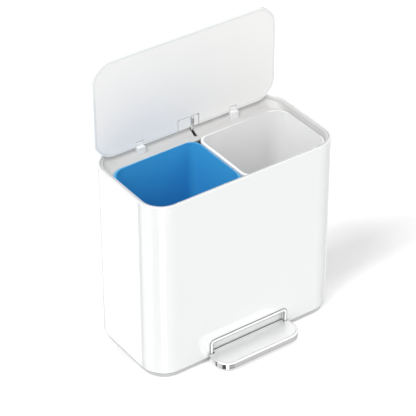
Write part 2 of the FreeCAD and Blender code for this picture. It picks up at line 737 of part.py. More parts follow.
def make_shelf():
    """Inner floor that carries the buckets over the lever."""
    body = new_body("shelf_plate")
    inset = shell_wall + shelf_play
    front_corner = body_corner - inset
    plate = rectangle(
        (inset - HALF, HALF - inset),
        (FRONT + inset, BACK - shelf_back),
        (front_corner, front_corner, shelf_corner, shelf_corner),
    )
    pad(body, "plate", plate, SHELF_LOW, shelf_top)
    tools = []
    for i, (x, y) in enumerate(column_places()):
        tools.append(hole(f"shelf_hole_{i}", "z", (x, y, SHELF_LOW), shelf_screw + play, shelf_thick))
        tools.append(bar(f"shelf_sink_{i}", "z", (x, y, shelf_top - shelf_screw_sink),
                         shelf_screw_head + play, shelf_screw_sink + PAST))
    return cut("bucket_shelf", body, *tools)


def make_shelf_screws():
    """Screws with sunk heads, from the shelf into the columns."""
    screws = []
    for i, (x, y) in enumerate(column_places()):
        seat = shelf_top - shelf_screw_sink
        low = SHELF_LOW - shelf_screw_bite
        head = bar(f"shelf_screw_head_{i}", "z", (x, y, seat), shelf_screw_head, shelf_screw_sink)
        shank = bar(f"shelf_screw_shank_{i}", "z", (x, y, low), shelf_screw, seat - low)
        screws.append(joined(f"shelf_screw_{i}", head, shank))
    return group("shelf_screws", screws)


def make_tray():
    """Base: ring, flange under the shell, floor, shelf columns and axle posts."""
    ring = new_body("tray_ring")
    pad(ring, "ring", ring_corners(tray_inset), rubber_drop, FLANGE_LOW)
    pad(ring, "flange", ring_corners(flange_inset), FLANGE_LOW, shell_lift)
    pad(ring, "spigot", ring_corners(SPIGOT_INSET), shell_lift, SPIGOT_TOP)
    pocket(ring, "upper_room", ring_corners(SPIGOT_INSET + tray_wall), FLANGE_LOW, SPIGOT_TOP)
    pocket(ring, "lower_room", ring_corners(tray_inset + tray_wall), TRAY_LOW, FLANGE_LOW)
    half = SLEEVE_HALF + play
    notch = block("tray_notch", (-half, half), (FRONT - PAST, FRONT + tray_inset + tray_wall + PAST),
                  (frame_foot, SPIGOT_TOP + PAST))
    floor = rubber_drop + tray_floor / 2
    pieces = [ring]
    tools = [notch]
    for i, (x, y) in enumerate(column_places()):
        pieces.append(bar(f"tray_column_{i}", "z", (x, y, floor), column_radius, SHELF_LOW - floor))
        pilot = shelf_screw_bite + play
        tools.append(bar(f"tray_pilot_{i}", "z", (x, y, SHELF_LOW - pilot), shelf_screw + running, pilot))
    for name, side in SIDES.items():
        left, right = span(side * POST_X, post_width)
        pieces.append(block(f"tray_post_{name}", (left, right), span(AXLE_Y, 2 * arm_boss),
                            (floor, AXLE_Z + arm_boss)))
        tools.append(hole(f"tray_bore_{name}", "x", (left, AXLE_Y, AXLE_Z), axle_radius + running,
                          post_width))
    return cut("base_tray", joined("tray_whole", *pieces), *tools)


def make_feet():
    """Rubber pads under the base."""
    xs = (rubber_side - HALF, HALF - rubber_side)
    ys = (FRONT + rubber_row, BACK - rubber_row)
    places = [(x, y) for x in xs for y in ys]
    return group("rubber_feet", [
        bar(f"rubber_foot_{i}", "z", (x, y, 0), rubber_radius, rubber_drop)
        for i, (x, y) in enumerate(places)
    ])


def make_pedal_frame():
    """U-shaped bezel with a sleeve that lines the shell's cut-out."""
    body = new_body("pedal_frame")
    hole_top = frame_top - frame_band
    hole_corner = frame_corner - frame_band
    front_view(body, "Pad", "face", arch(frame_half, frame_foot, frame_top, frame_corner), FRAME_Y, FRONT)
    front_view(body, "Pad", "sleeve", arch(SLEEVE_HALF, frame_foot, SLEEVE_TOP, SLEEVE_CORNER),
               FRAME_Y, SLEEVE_BACK)
    front_view(body, "Pocket", "hole", arch(OPENING_HALF, frame_foot - PAST, hole_top, hole_corner),
               FRAME_Y, SLEEVE_BACK)
    return body


def make_axle():
    """Steel axle through the posts and both lever arms."""
    end = POST_X + post_width / 2 + axle_end
    return bar("lever_axle", "x", (-end, AXLE_Y, AXLE_Z), axle_radius, 2 * end)


def make_axle_clips():
    """A spring clip on each end of the axle."""
    clips = []
    for name, side in SIDES.items():
        middle = side * (POST_X + post_width / 2 + play + clip_width / 2)
        left, right = span(middle, clip_width)
        disc = bar(f"clip_disc_{name}", "x", (left, AXLE_Y, AXLE_Z), axle_radius + clip_rim, right - left)
        bore = hole(f"clip_bore_{name}", "x", (left, AXLE_Y, AXLE_Z), axle_radius, clip_width)
        clips.append(cut(f"clip_{name}", disc, bore))
    return group("axle_clips", clips)


def make_stop_pads():
    """Rubber pads on the tray, just under the pressed lever arms."""
    return group("stop_pads", [
        block(f"stop_pad_{name}", span(side * arm_spread / 2, stop_width),
              span(FRONT + stop_setback, stop_depth), (TRAY_LOW, ARM_LOW - play))
        for name, side in SIDES.items()
    ])


def make_rod_channel():
    """Upright cover behind the buckets that keeps the push rod free."""
    back = BACK - shell_wall
    front = SLOT_FRONT - channel_wall
    zs = (shelf_top + channel_lift, COLLAR_LOW - rim_lip - channel_lift)
    outer = block("channel_outer", span(rod_x, channel_width), (front, back), zs)
    flange = block("channel_flanges", span(rod_x, channel_width + 2 * channel_flange),
                   (back - channel_wall, back), zs)
    inner = block("channel_inner", span(rod_x, channel_width - 2 * channel_wall),
                  (SLOT_FRONT, back + PAST), (zs[0] - PAST, zs[1] + PAST))
    return cut("rod_channel", joined("channel_whole", outer, flange), inner)


def make_damper_bracket():
    """Plate on the shell's back wall with a ring round the damper."""
    zs = span(DAMPER_LOW + damper_length / 2, ring_height)
    back = BACK - shell_wall
    plate = block("bracket_back", span(DAMPER_X, bracket_width), (back - bracket_plate, back), zs)
    arm = block("bracket_bridge", span(DAMPER_X, bracket_arm),
                (HOOK_Y + damper_radius, back - bracket_plate / 2), zs)
    ring = bar("bracket_ring", "z", (DAMPER_X, HOOK_Y, zs[0]), damper_radius + ring_wall, ring_height)
    bore = hole("bracket_bore", "z", (DAMPER_X, HOOK_Y, zs[0]), damper_radius, ring_height)
    return cut("damper_bracket", joined("bracket_whole", plate, arm, ring), bore)


def make_damper_cylinder():
    """Closed cylinder with a hole in its lower end for the piston rod."""
    outer = bar("cylinder_outer", "z", (DAMPER_X, HOOK_Y, DAMPER_LOW), damper_radius, damper_length)
    bore = bar("cylinder_bore", "z", (DAMPER_X, HOOK_Y, DAMPER_LOW + damper_end), damper_bore,
               damper_length - 2 * damper_end)
    rod_hole = hole("cylinder_rod_hole", "z", (DAMPER_X, HOOK_Y, DAMPER_LOW), piston_rod + running,
                    damper_end)
    return cut("damper_cylinder", outer, bore, rod_hole)


# --- lid ------------------------------------------------------------------------------


def lid_corners(inset):
    """The lid's outline in front view, drawn in by an inset."""
    return rectangle(
        (inset - LID_HALF, LID_HALF - inset),
        (LID_LOW + inset, LID_TOP - inset),
        body_corner - lid_gap - inset,
    )


def notch_tools(name):
    """Two boxes that clear the hinge knuckles."""
    width = knuckle_width + 2 * notch_side
    return [
        block(f"{name}_notch_{which}", span(side * HINGE_X, width), (LID_FACE - PAST, LID_BACK + PAST),
              (LID_LOW - PAST, NOTCH_TOP))
        for which, side in SIDES.items()
    ]


def plate_sides(gap):
    """The rod plate's two sides, moved out by a gap."""
    return rod_x - plate_left - gap, rod_x + plate_right + gap


def make_lid_shell():
    """Steel pan with a folded edge, open at the knuckles and at the rod plate."""
    pan = new_body("lid_pan")
    front_view(pan, "Pad", "outside", lid_corners(as_size(0)), LID_FACE, LID_BACK)
    round_edges(pan, "outer_edge", lid_round, flat_at("Y", LID_BACK))
    round_edges(pan, "inner_edge", lid_skin / 2, flat_at("Y", LID_FACE))
    room = new_body("lid_room")
    front_view(room, "Pad", "room", lid_corners(lid_skin), LID_FACE + lid_skin, LID_ROOM)
    round_edges(room, "edge", lid_round - lid_skin, flat_at("Y", LID_ROOM))
    mouth = new_body("lid_mouth")
    front_view(mouth, "Pad", "mouth", lid_corners(lid_fold), LID_FACE - PAST, LID_FACE + 2 * lid_skin)
    fold_top = LID_LOW + lid_fold + PAST
    plate_gap = block("lid_plate_gap", plate_sides(play), (LID_FACE - PAST, LID_FACE + plate_thick + play),
                      (LID_LOW - PAST, fold_top))
    rod_gap = block("lid_rod_gap", span(rod_x, plate_slot), (LID_FACE - PAST, LID_ROOM),
                    (LID_LOW - PAST, fold_top))
    return cut("lid_shell", pan, room, mouth, plate_gap, rod_gap, *notch_tools("lid"))


def make_lid_liner():
    """Inner panel with an edge rib, hinge bosses and a window for the rod plate."""
    edge = lid_fold + play
    rear = LID_ROOM - play
    middle = LID_FACE + liner_thick / 2
    panel = new_body("liner_panel")
    front_view(panel, "Pad", "panel", lid_corners(edge), LID_FACE, LID_FACE + liner_thick)
    rib = new_body("liner_rib_blank")
    front_view(rib, "Pad", "rib", lid_corners(edge + liner_rib), middle, rear)
    room = new_body("liner_rib_room")
    front_view(room, "Pad", "room", lid_corners(edge + 2 * liner_rib), LID_FACE + liner_thick, rear + PAST)
    pieces = [panel, cut("liner_rib_ring", rib, room)]
    pin_holes = []
    for name, side in SIDES.items():
        left, right = span(side * HINGE_X, knuckle_width + 2 * notch_side + 2 * boss_width)
        pieces.append(block(f"liner_boss_{name}", (left, right), (LID_FACE + lid_skin + play, rear),
                            (LID_LOW + lid_round, NOTCH_TOP)))
        pin_holes.append(hole(f"liner_pin_hole_{name}", "x", (left, HINGE_Y, HINGE_Z),
                              hinge_pin + running, right - left))
    window = block("liner_window", plate_sides(play), (LID_FACE - PAST, LID_BACK),
                   (LID_LOW - PAST, HOOK_Z + plate_above + play))
    return cut("lid_liner", joined("liner_whole", *pieces), window, *pin_holes, *notch_tools("liner"))


def make_rod_plate():
    """Plate with an open slot and a bearing block for the rod's hook."""
    low = LID_LOW + play
    rear = LID_ROOM - play
    inside = (LID_FACE + plate_thick / 2, rear)
    bearing_height = 2 * (rod_radius + hook_wall)
    bearing_left = rod_x + plate_slot / 2
    face = block("plate_face", plate_sides(as_size(0)), (LID_FACE, LID_FACE + plate_thick),
                 (low, HOOK_Z + plate_above))
    bearing = block("plate_bearing", (bearing_left, bearing_left + hook_block), inside,
                    span(HOOK_Z, bearing_height))
    spacer = block("plate_spacer", span(rod_x - plate_left / 2, hook_block), inside,
                   span(HOOK_Z, bearing_height))
    slot = block("plate_slot_tool", span(rod_x, plate_slot), (LID_FACE - PAST, rear + PAST),
                 (low - PAST, HOOK_Z + plate_slot / 2))
    bore = bar("plate_bore", "x", (rod_x, HOOK_Y, HOOK_Z), rod_radius + running,
               plate_slot / 2 + hook_block + PAST)
    return cut("rod_plate", joined("plate_whole", face, bearing, spacer), slot, bore)


# --- push rod -------------------------------------------------------------------------


def make_push_rod():
    """Steel wire: a hook along X at the top, an elbow and the upright."""
    low = RIDER_LOW + foot_height / 2
    hook = bar("rod_hook", "x", (rod_x, HOOK_Y, HOOK_Z), rod_radius, hook_length)
    upright = bar("rod_upright", "z", (rod_x, HOOK_Y, low), rod_radius, HOOK_Z - low)
    elbow = add("Part::Sphere", "rod_elbow")
    bind(elbow, "Radius", rod_radius)
    for letter, place in zip("xyz", (rod_x, HOOK_Y, HOOK_Z)):
        bind(elbow, f"Placement.Base.{letter}", place)
    return joined("push_rod", hook, upright, elbow)


def make_cap(name, x, radius, height, bore):
    """Nylon cap that rides on the crossbar, with a blind bore for the rod above it."""
    cap = bar(f"{name}_cap", "z", (x, HOOK_Y, RIDER_LOW), radius, height)
    blind = bar(f"{name}_bore", "z", (x, HOOK_Y, RIDER_LOW + height / 2), bore, height)
    return cut(name, cap, blind)


# --- pedal and lever ------------------------------------------------------------------


def tread_corners(inset):
    """The tread in plan, in front of the pedal frame."""
    half = frame_half + pedal_side - inset
    corner = pedal_corner - inset
    ys = (TREAD_FRONT + inset, TREAD_BACK - inset)
    return rectangle((-half, half), ys, (corner, corner, None, None))


def make_tread():
    """Folded steel tread, open below, with a tongue through the opening."""
    body = new_body("pedal_tread")
    upper = flat_at("Z", pedal_top)
    root = TREAD_BACK - tongue_root
    pad(body, "outside", tread_corners(as_size(0)), TREAD_LOW, pedal_top)
    round_edges(body, "front_edge", pedal_round, lambda box: upper(box) and box.YMin < root.value)
    pocket(body, "inside", tread_corners(pedal_edge), TREAD_LOW, CORE_TOP)
    tongue = rectangle((-TONGUE_HALF, TONGUE_HALF), (root, SHUTTER_Y - tongue_gap))
    pad(body, "tongue", tongue, CORE_TOP, pedal_top)
    gap = rectangle((-TONGUE_HALF, TONGUE_HALF), (root, TREAD_BACK + PAST))
    pocket(body, "back_gap", gap, TREAD_LOW, CORE_TOP)
    return body


def make_core():
    """Moulded carrier under the tread, reaching through the opening to the shutter."""
    low = TREAD_LOW + core_lift
    blank = new_body("core_blank")
    pad(blank, "front", tread_corners(pedal_edge + play), low, CORE_TOP)
    neck_half = TONGUE_HALF - play
    neck = block("core_neck", (-neck_half, neck_half), (TREAD_BACK - 2 * tongue_root, CORE_BACK),
                 (low, CORE_TOP))
    slots = [
        block(f"core_slot_{name}", span(side * arm_spread / 2, arm_thick + 2 * play),
              (ARM_FRONT - play, CORE_BACK + PAST), (ARM_LOW - PAST, ARM_TOP + play))
        for name, side in SIDES.items()
    ]
    holes = []
    for name in SIDES:
        holes += rivets(f"core_rivet_hole_{name}", name, rivet_radius + running)
    return cut("pedal_core", joined("core_whole", blank, neck), *slots, *holes)


def rivets(label, name, radius):
    """Two bars across one lever arm at its rivets' places."""
    left, right = span(SIDES[name] * arm_spread / 2, rivet_length)
    z = (ARM_LOW + ARM_TOP) / 2
    return [bar(f"{label}_{i}", "x", (left, y, z), radius, right - left)
            for i, y in enumerate((ARM_FRONT + rivet_setback, FRAME_Y))]


def make_arm(name, side):
    """Flat steel bar from the pedal over the axle to the crossbar."""
    rear = HOOK_Y + crossbar_side / 2
    bend = (FRONT + AXLE_Y) / 2
    lower = [
        (ARM_FRONT, ARM_LOW),
        (bend, ARM_LOW),
        (AXLE_Y, AXLE_Z - arm_boss),
        (rear - crossbar_side, CROSSBAR_LOW),
        (rear, CROSSBAR_LOW),
    ]
    upper = [
        (rear, CROSSBAR_TOP),
        (rear - crossbar_side, CROSSBAR_TOP),
        (AXLE_Y, AXLE_Z + arm_boss),
        (bend, ARM_TOP),
        (ARM_FRONT, ARM_TOP),
    ]
    left, right = span(SIDES[side] * arm_spread / 2, arm_thick)
    blank = new_body(f"{name}_blank")
    side_view(blank, "Pad", "side", lower + upper, left, right)
    bore = hole(f"{name}_bore", "x", (left, AXLE_Y, AXLE_Z), BUSH_RADIUS, arm_thick)
    return cut(name, blank, bore, *rivets(f"{name}_rivet_hole", side, rivet_radius + running))


def make_crossbar():
    """Square bar between the arms, under the push rod and the damper."""
    half = (arm_spread - arm_thick) / 2
    return block("lever_crossbar", (-half, half), span(HOOK_Y, crossbar_side), (CROSSBAR_LOW, CROSSBAR_TOP))


def make_bushes():
    """Nylon bushes between the arms and the axle."""
    bushes = []
    for name, side in SIDES.items():
        left, right = span(side * arm_spread / 2, BUSH_LENGTH)
        outer = bar(f"bush_outer_{name}", "x", (left, AXLE_Y, AXLE_Z), BUSH_RADIUS, right - left)
        inner = hole(f"bush_bore_{name}", "x", (left, AXLE_Y, AXLE_Z), axle_radius + running, BUSH_LENGTH)
        bushes.append(cut(f"bush_{name}", outer, inner))
    return group("lever_bushes", bushes)


def make_shutter():
    """Upright panel on the core that closes the opening above the pedal."""
    half = OPENING_HALF + shutter_lap
    panel = block("shutter_panel", (-half, half), (SHUTTER_Y, SHUTTER_Y + shutter_thick),
                  (CORE_TOP, frame_top + shutter_over))
    foot = block("shutter_foot_plate", (-TONGUE_HALF, TONGUE_HALF), (SHUTTER_Y, CORE_BACK),
                 (CORE_TOP, CORE_TOP + shutter_thick))
    return joined("pedal_shutter", panel, foot)


def make_piston():
    """Piston head near the top of the bore and its rod down to the tip."""
    low = RIDER_LOW + tip_height / 2
    head_low = DAMPER_TOP - damper_end - piston_rest - piston_head
    head = bar("piston_disc", "z", (DAMPER_X, HOOK_Y, head_low), damper_bore - running, piston_head)
    stem = bar("piston_stem", "z", (DAMPER_X, HOOK_Y, low), piston_rod, head_low + piston_head / 2 - low)
    return joined("damper_piston", head, stem)


# --- the whole bin --------------------------------------------------------------------


def make_nodes():
    """Every sub-part of the bin, by the name of its node."""
    return {
        "body_shell": make_shell(),
        "top_rim": make_rim(),
        "inner_collar": make_collar(),
        "hinge_bracket_left": make_knuckle("hinge_bracket_left", -HINGE_X),
        "hinge_bracket_right": make_knuckle("hinge_bracket_right", HINGE_X),
        "hinge_pin_left": make_hinge_pin("hinge_pin_left", -HINGE_X),
        "hinge_pin_right": make_hinge_pin("hinge_pin_right", HINGE_X),
        "hinge_screws": make_hinge_screws(),
        "collar_bumpers": make_bumpers(),
        "bucket_blue": make_bucket("bucket_blue", -1),
        "bucket_white": make_bucket("bucket_white", 1),
        "bucket_shelf": make_shelf(),
        "shelf_screws": make_shelf_screws(),
        "base_tray": make_tray(),
        "rubber_feet": make_feet(),
        "pedal_frame": make_pedal_frame(),
        "lever_axle": make_axle(),
        "axle_clips": make_axle_clips(),
        "stop_pads": make_stop_pads(),
        "rod_channel": make_rod_channel(),
        "damper_bracket": make_damper_bracket(),
        "damper_cylinder": make_damper_cylinder(),
        "lid_shell": make_lid_shell(),
        "lid_liner": make_lid_liner(),
        "rod_plate": make_rod_plate(),
        "push_rod": make_push_rod(),
        "rod_foot": make_cap("rod_foot", rod_x, foot_radius, foot_height, rod_radius),
        "pedal_tread": make_tread(),
        "pedal_core": make_core(),
        "pedal_shutter": make_shutter(),
        "lever_arm_left": make_arm("lever_arm_left", "left"),
        "lever_arm_right": make_arm("lever_arm_right", "right"),
        "lever_crossbar": make_crossbar(),
        "lever_bushes": make_bushes(),
        "pedal_rivets": group("pedal_rivets", [
            rivet for name in SIDES for rivet in rivets(f"rivet_{name}", name, rivet_radius)]),
        "damper_piston": make_piston(),
        "damper_tip": make_cap("damper_tip", DAMPER_X, piston_rod + tip_wall, tip_height, piston_rod),
    }


def check(nodes):
    """Stops on an object that failed, a pocket that cuts nothing or a shape that isn't whole."""
    for thing in DOC.Objects:
        if {"Invalid", "Error"} & set(thing.State):
            raise RuntimeError(f"{thing.Name} failed: {thing.State}")
        if thing.TypeId == "PartDesign::Pocket" and thing.Shape.Volume >= thing.BaseFeature.Shape.Volume:
            raise RuntimeError(f"{thing.Name} cuts nothing")
    for name, thing in nodes.items():
        shape = thing.Shape
        if shape.isNull() or not shape.isValid() or not shape.Solids:
            raise RuntimeError(f"{name} has no sound shape")


def main():
    """Builds, checks and writes every node."""
    nodes = make_nodes()
    DOC.recompute()
    check(nodes)
    os.makedirs("parts", exist_ok=True)
    for name, thing in nodes.items():
        thing.Shape.exportStep(f"parts/{name}.step")
        print(f"{name:20s} {len(thing.Shape.Solids)} solids {thing.Shape.Volume / 1000:8.2f} cm3")


main()
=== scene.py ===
"""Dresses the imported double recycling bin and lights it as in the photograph.

Every place is in the frame of the CAD nodes: +X right, +Y back, +Z up. A form is drawn
in millimetres and is brought to metres when it is cast.
"""

from __future__ import annotations

import json
import logging
import math
from collections.abc import Callable, Iterable, Mapping, Sequence
from dataclasses import dataclass, field
from enum import Enum
from typing import Any

import bmesh
import bpy
from mathutils import Matrix, Vector

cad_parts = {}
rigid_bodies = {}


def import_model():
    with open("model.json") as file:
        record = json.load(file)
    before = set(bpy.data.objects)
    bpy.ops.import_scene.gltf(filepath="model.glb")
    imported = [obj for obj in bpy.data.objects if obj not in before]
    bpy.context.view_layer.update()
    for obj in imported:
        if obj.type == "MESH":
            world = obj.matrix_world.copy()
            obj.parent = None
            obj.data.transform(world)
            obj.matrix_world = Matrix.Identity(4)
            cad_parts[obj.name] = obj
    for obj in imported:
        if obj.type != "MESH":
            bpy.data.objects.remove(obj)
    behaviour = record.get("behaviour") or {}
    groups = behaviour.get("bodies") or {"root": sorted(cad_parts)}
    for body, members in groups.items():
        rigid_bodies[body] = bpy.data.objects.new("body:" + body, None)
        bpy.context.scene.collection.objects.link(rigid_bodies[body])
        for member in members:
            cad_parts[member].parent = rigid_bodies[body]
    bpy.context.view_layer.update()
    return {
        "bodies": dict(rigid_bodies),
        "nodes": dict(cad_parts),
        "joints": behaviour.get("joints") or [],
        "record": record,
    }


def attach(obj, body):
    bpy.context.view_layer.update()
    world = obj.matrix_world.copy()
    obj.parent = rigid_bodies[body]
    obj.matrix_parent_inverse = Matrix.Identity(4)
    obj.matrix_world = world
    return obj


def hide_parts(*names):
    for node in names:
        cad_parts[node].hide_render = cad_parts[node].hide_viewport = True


LOG = logging.getLogger("recycling_bin")
MILLIMETRE = 0.001

# In millimetres: the least radius of a corner, what counts as the same place, how close
# the vertices are that are joined in a copied node and in a finished piece, and the
# tolerance of a cut.
SHARP = 0.3
TOUCHING = 0.01
COPY_WELD = 0.002
CAST_WELD = 0.001
CUT_TOLERANCE = 1e-5

# Faces of a copied node that meet at less than the first angle are joined. Edges over the
# second one stay sharp.
FLAT_ANGLE = math.radians(0.4)
CREASE_ANGLE = math.radians(35.0)

# A face runs along an axis if its normal has less than this along it.
ALONG = 0.3

# Numbers of faces across a ring's corner, a rounding of a ring and any other rounding.
CORNER_STEPS = 16
RING_STEPS = 4
EDGE_STEPS = 3
ARC_PROFILE = 0.5
SHADING_WEIGHT = 90

# Numbers of finer layers in a noise.
PLAIN_DETAIL = 2.0
FINE_DETAIL = 3.0
FINEST_DETAIL = 4.0

Triple = tuple[float, float, float]
Colour = Triple
Stops = tuple[tuple[float, float], ...]
Test = Callable[[Vector, Vector], bool]


# --- shader maths ---------------------------------------------------------------------


class Signal:
    """A socket of a material's nodes that can be used in sums."""

    def __init__(self, recipe: Recipe, socket: bpy.types.NodeSocket) -> None:
        """Wraps one output.

        Args:
            recipe: The recipe that the socket belongs to.
            socket: The output socket.
        """
        self.recipe = recipe
        self.socket = socket

    def _math(self, operation: str, first: Any, second: Any) -> Signal:
        """Adds one Math node.

        Args:
            operation: Blender's name for the operation.
            first: A signal or a number.
            second: A signal or a number.

        Returns:
            The node's value.
        """
        node = self.recipe.node("ShaderNodeMath", {"operation": operation}, {0: first, 1: second})
        return self.recipe.read(node)

    def __add__(self, other: Any) -> Signal:
        """Sum."""
        return self._math("ADD", self, other)

    def __sub__(self, other: Any) -> Signal:
        """Difference."""
        return self._math("SUBTRACT", self, other)

    def __rsub__(self, other: Any) -> Signal:
        """Difference with a number first."""
        return self._math("SUBTRACT", other, self)

    def __mul__(self, other: Any) -> Signal:
        """Product."""
        return self._math("MULTIPLY", self, other)

    def greatest(self, other: Any) -> Signal:
        """The greater of two values."""
        return self._math("MAXIMUM", self, other)

    def turn_to(self, across: Signal) -> Signal:
        """The angle of this value against another one, from 0 to 1 for a whole turn."""
        return self._math("ARCTAN2", self, across) * (0.5 / math.pi) + 0.5

    def towards(self, other: Any, share: Signal) -> Signal:
        """This value at a share of 0, and another at a share of 1."""
        return self + share * (other - self)


class Recipe:
    """Builds the nodes of one material or of the world."""

    def __init__(self, owner: bpy.types.Material | bpy.types.World) -> None:
        """Starts with an empty tree.

        Args:
            owner: The material or world.
        """
        owner.use_nodes = True
        self.owner = owner
        self.tree = owner.node_tree
        self.tree.nodes.clear()

    @staticmethod
    def _socket(sockets: Any, key: int | str) -> bpy.types.NodeSocket:
        """Finds a socket by number, or the one in use by name.

        Args:
            sockets: A node's inputs or outputs.
            key: A number or a name.

        Returns:
            The socket.
        """
        if isinstance(key, int):
            return sockets[key]
        return next(socket for socket in sockets if socket.name == key and socket.enabled)

    def node(
        self,
        kind: str,
        settings: Mapping[str, Any] | None = None,
        sockets: Mapping[int | str, Any] | None = None,
    ) -> bpy.types.Node:
        """Adds a node.

        Args:
            kind: The node's type.
            settings: Its properties, and "stops" for a ramp.
            sockets: Values or signals for its inputs.

        Returns:
            The node.
        """
        node = self.tree.nodes.new(kind)
        for name, value in (settings or {}).items():
            if name == "stops":
                self._set_stops(node.color_ramp, value)
            else:
                setattr(node, name, value)
        for key, value in (sockets or {}).items():
            socket = self._socket(node.inputs, key)
            if isinstance(value, Signal):
                self.tree.links.new(value.socket, socket)
            elif socket.type == "RGBA":
                socket.default_value = (*value, 1.0)
            else:
                socket.default_value = value
        return node

    @staticmethod
    def _set_stops(ramp: bpy.types.ColorRamp, stops: Stops) -> None:
        """Sets a grey ramp.

        Args:
            ramp: The ramp.
            stops: Pairs of position and grey value.
        """
        while len(ramp.elements) < len(stops):
            ramp.elements.new(1.0)
        for element, (position, value) in zip(ramp.elements, stops):
            element.position = position
            element.color = (value, value, value, 1.0)

    def read(self, node: bpy.types.Node, key: int | str = 0) -> Signal:
        """One output of a node as a signal."""
        return Signal(self, self._socket(node.outputs, key))

    def place(self) -> Signal:
        """The place on the object, in metres."""
        return self.read(self.node("ShaderNodeTexCoord"), "Object")

    def noise(
        self, size: float, stretch: Triple = (1.0, 1.0, 1.0), detail: float = PLAIN_DETAIL
    ) -> Signal:
        """Noise from 0 to 1.

        Args:
            size: Size of its spots in millimetres.
            stretch: How many times longer they are along each axis.
            detail: Number of finer layers.

        Returns:
            The noise.
        """
        scale = tuple(1.0 / (size * MILLIMETRE * times) for times in stretch)
        place = self.node("ShaderNodeMapping", None, {"Vector": self.place(), "Scale": scale})
        sockets = {"Vector": self.read(place), "Scale": 1.0, "Detail": detail}
        return self.read(self.node("ShaderNodeTexNoise", None, sockets), 0)

    def ramp(self, value: Signal, stops: Stops) -> Signal:
        """A value read off a ramp of pairs of position and grey value."""
        return self.read(self.node("ShaderNodeValToRGB", {"stops": stops}, {0: value}), 0)

    def blend(self, share: Signal, low: Colour, high: Colour) -> Signal:
        """A colour between two others."""
        sockets = {"Factor": share, "A": low, "B": high}
        return self.read(self.node("ShaderNodeMix", {"data_type": "RGBA"}, sockets), "Result")

    def bump(self, height: Signal, depth: float) -> Signal:
        """A surface normal from a height.

        Args:
            height: The height from 0 to 1.
            depth: What 1 stands for, in millimetres.

        Returns:
            The normal.
        """
        sockets = {"Distance": depth * MILLIMETRE, "Height": height}
        return self.read(self.node("ShaderNodeBump", None, sockets))

    def surface(self, shader: bpy.types.Node) -> None:
        """Ends a material with one shader."""
        self.node("ShaderNodeOutputMaterial", None, {"Surface": self.read(shader)})


# --- finishes -------------------------------------------------------------------------


@dataclass(frozen=True)
class Finish:
    """A plastic, paint or metal: its colour, its gloss and the relief of its surface."""

    name: str
    slot: str
    colour: Colour
    roughness: float
    metallic: float = 0.0
    coat: float = 0.0
    coat_roughness: float = 0.03
    ior: float = 1.5
    tone: float = 0.01
    tone_size: float = 60.0
    gloss_drift: float = 0.04
    relief: float = 0.004
    relief_size: float = 0.8

    def build(self) -> bpy.types.Material:
        """Makes the material.

        Returns:
            The material.
        """
        recipe = Recipe(bpy.data.materials.new(self.name))
        fixed = {
            "Metallic": self.metallic,
            "Coat Weight": self.coat,
            "Coat Roughness": self.coat_roughness,
            "IOR": self.ior,
        }
        varied = {
            "Base Color": self.shade(recipe),
            "Roughness": self.gloss(recipe),
            "Normal": recipe.bump(self.height(recipe), self.relief),
        }
        recipe.surface(recipe.node("ShaderNodeBsdfPrincipled", None, {**fixed, **varied}))
        return recipe.owner

    def shade(self, recipe: Recipe) -> Signal:
        """The base colour, with a slow drift in tone."""
        low = tuple(part * (1.0 - self.tone) for part in self.colour)
        high = tuple(min(part * (1.0 + self.tone), 1.0) for part in self.colour)
        return recipe.blend(recipe.noise(self.tone_size), low, high)

    def drifting(self, noise: Signal) -> Signal:
        """The roughness, raised and lowered by a noise."""
        return (noise - 0.5) * self.gloss_drift + self.roughness

    def gloss(self, recipe: Recipe) -> Signal:
        """The roughness drifts in spots a third as large as the tone's."""
        return self.drifting(recipe.noise(self.tone_size / 3, detail=FINE_DETAIL))

    def height(self, recipe: Recipe) -> Signal:
        """The relief from 0 to 1."""
        return recipe.noise(self.relief_size, detail=FINE_DETAIL)


@dataclass(frozen=True)
class Enamel(Finish):
    """Sprayed gloss paint with a very faint orange peel."""

    peel_share: float = 0.4
    wave_share: float = 0.6
    wave_size: float = 14.0

    def height(self, recipe: Recipe) -> Signal:
        """Orange peel on longer waves."""
        peel = recipe.noise(self.relief_size) * self.peel_share
        return peel + recipe.noise(self.wave_size) * self.wave_share


@dataclass(frozen=True)
class Grained(Finish):
    """Moulded plastic with a spark-eroded grain."""

    coarse_share: float = 0.6
    fine_share: float = 0.4
    fine_times: float = 2.5

    def height(self, recipe: Recipe) -> Signal:
        """Two sizes of grain."""
        fine = recipe.noise(self.relief_size / self.fine_times, detail=FINEST_DETAIL)
        return recipe.noise(self.relief_size) * self.coarse_share + fine * self.fine_share


@dataclass(frozen=True)
class Brushed(Finish):
    """Steel with fine scratches along one axis."""

    stretch: Triple = (60.0, 1.0, 1.0)
    shade_times: float = 3.0
    gloss_times: float = 2.0

    def streaks(self, recipe: Recipe, times: float, detail: float) -> Signal:
        """Noise drawn out along the scratches.

        Args:
            recipe: The material's recipe.
            times: How many times wider the streaks are than the scratches.
            detail: Number of finer layers.

        Returns:
            The noise.
        """
        return recipe.noise(self.relief_size * times, self.stretch, detail)

    def shade(self, recipe: Recipe) -> Signal:
        """Streaks lighten and darken the steel."""
        low = tuple(part * (1.0 - self.tone) for part in self.colour)
        streaks = self.streaks(recipe, self.shade_times, FINE_DETAIL)
        return recipe.blend(streaks, low, self.colour)

    def gloss(self, recipe: Recipe) -> Signal:
        """Roughness follows the streaks."""
        return self.drifting(self.streaks(recipe, self.gloss_times, FINEST_DETAIL))

    def height(self, recipe: Recipe) -> Signal:
        """Scratches."""
        return self.streaks(recipe, 1.0, FINEST_DETAIL)


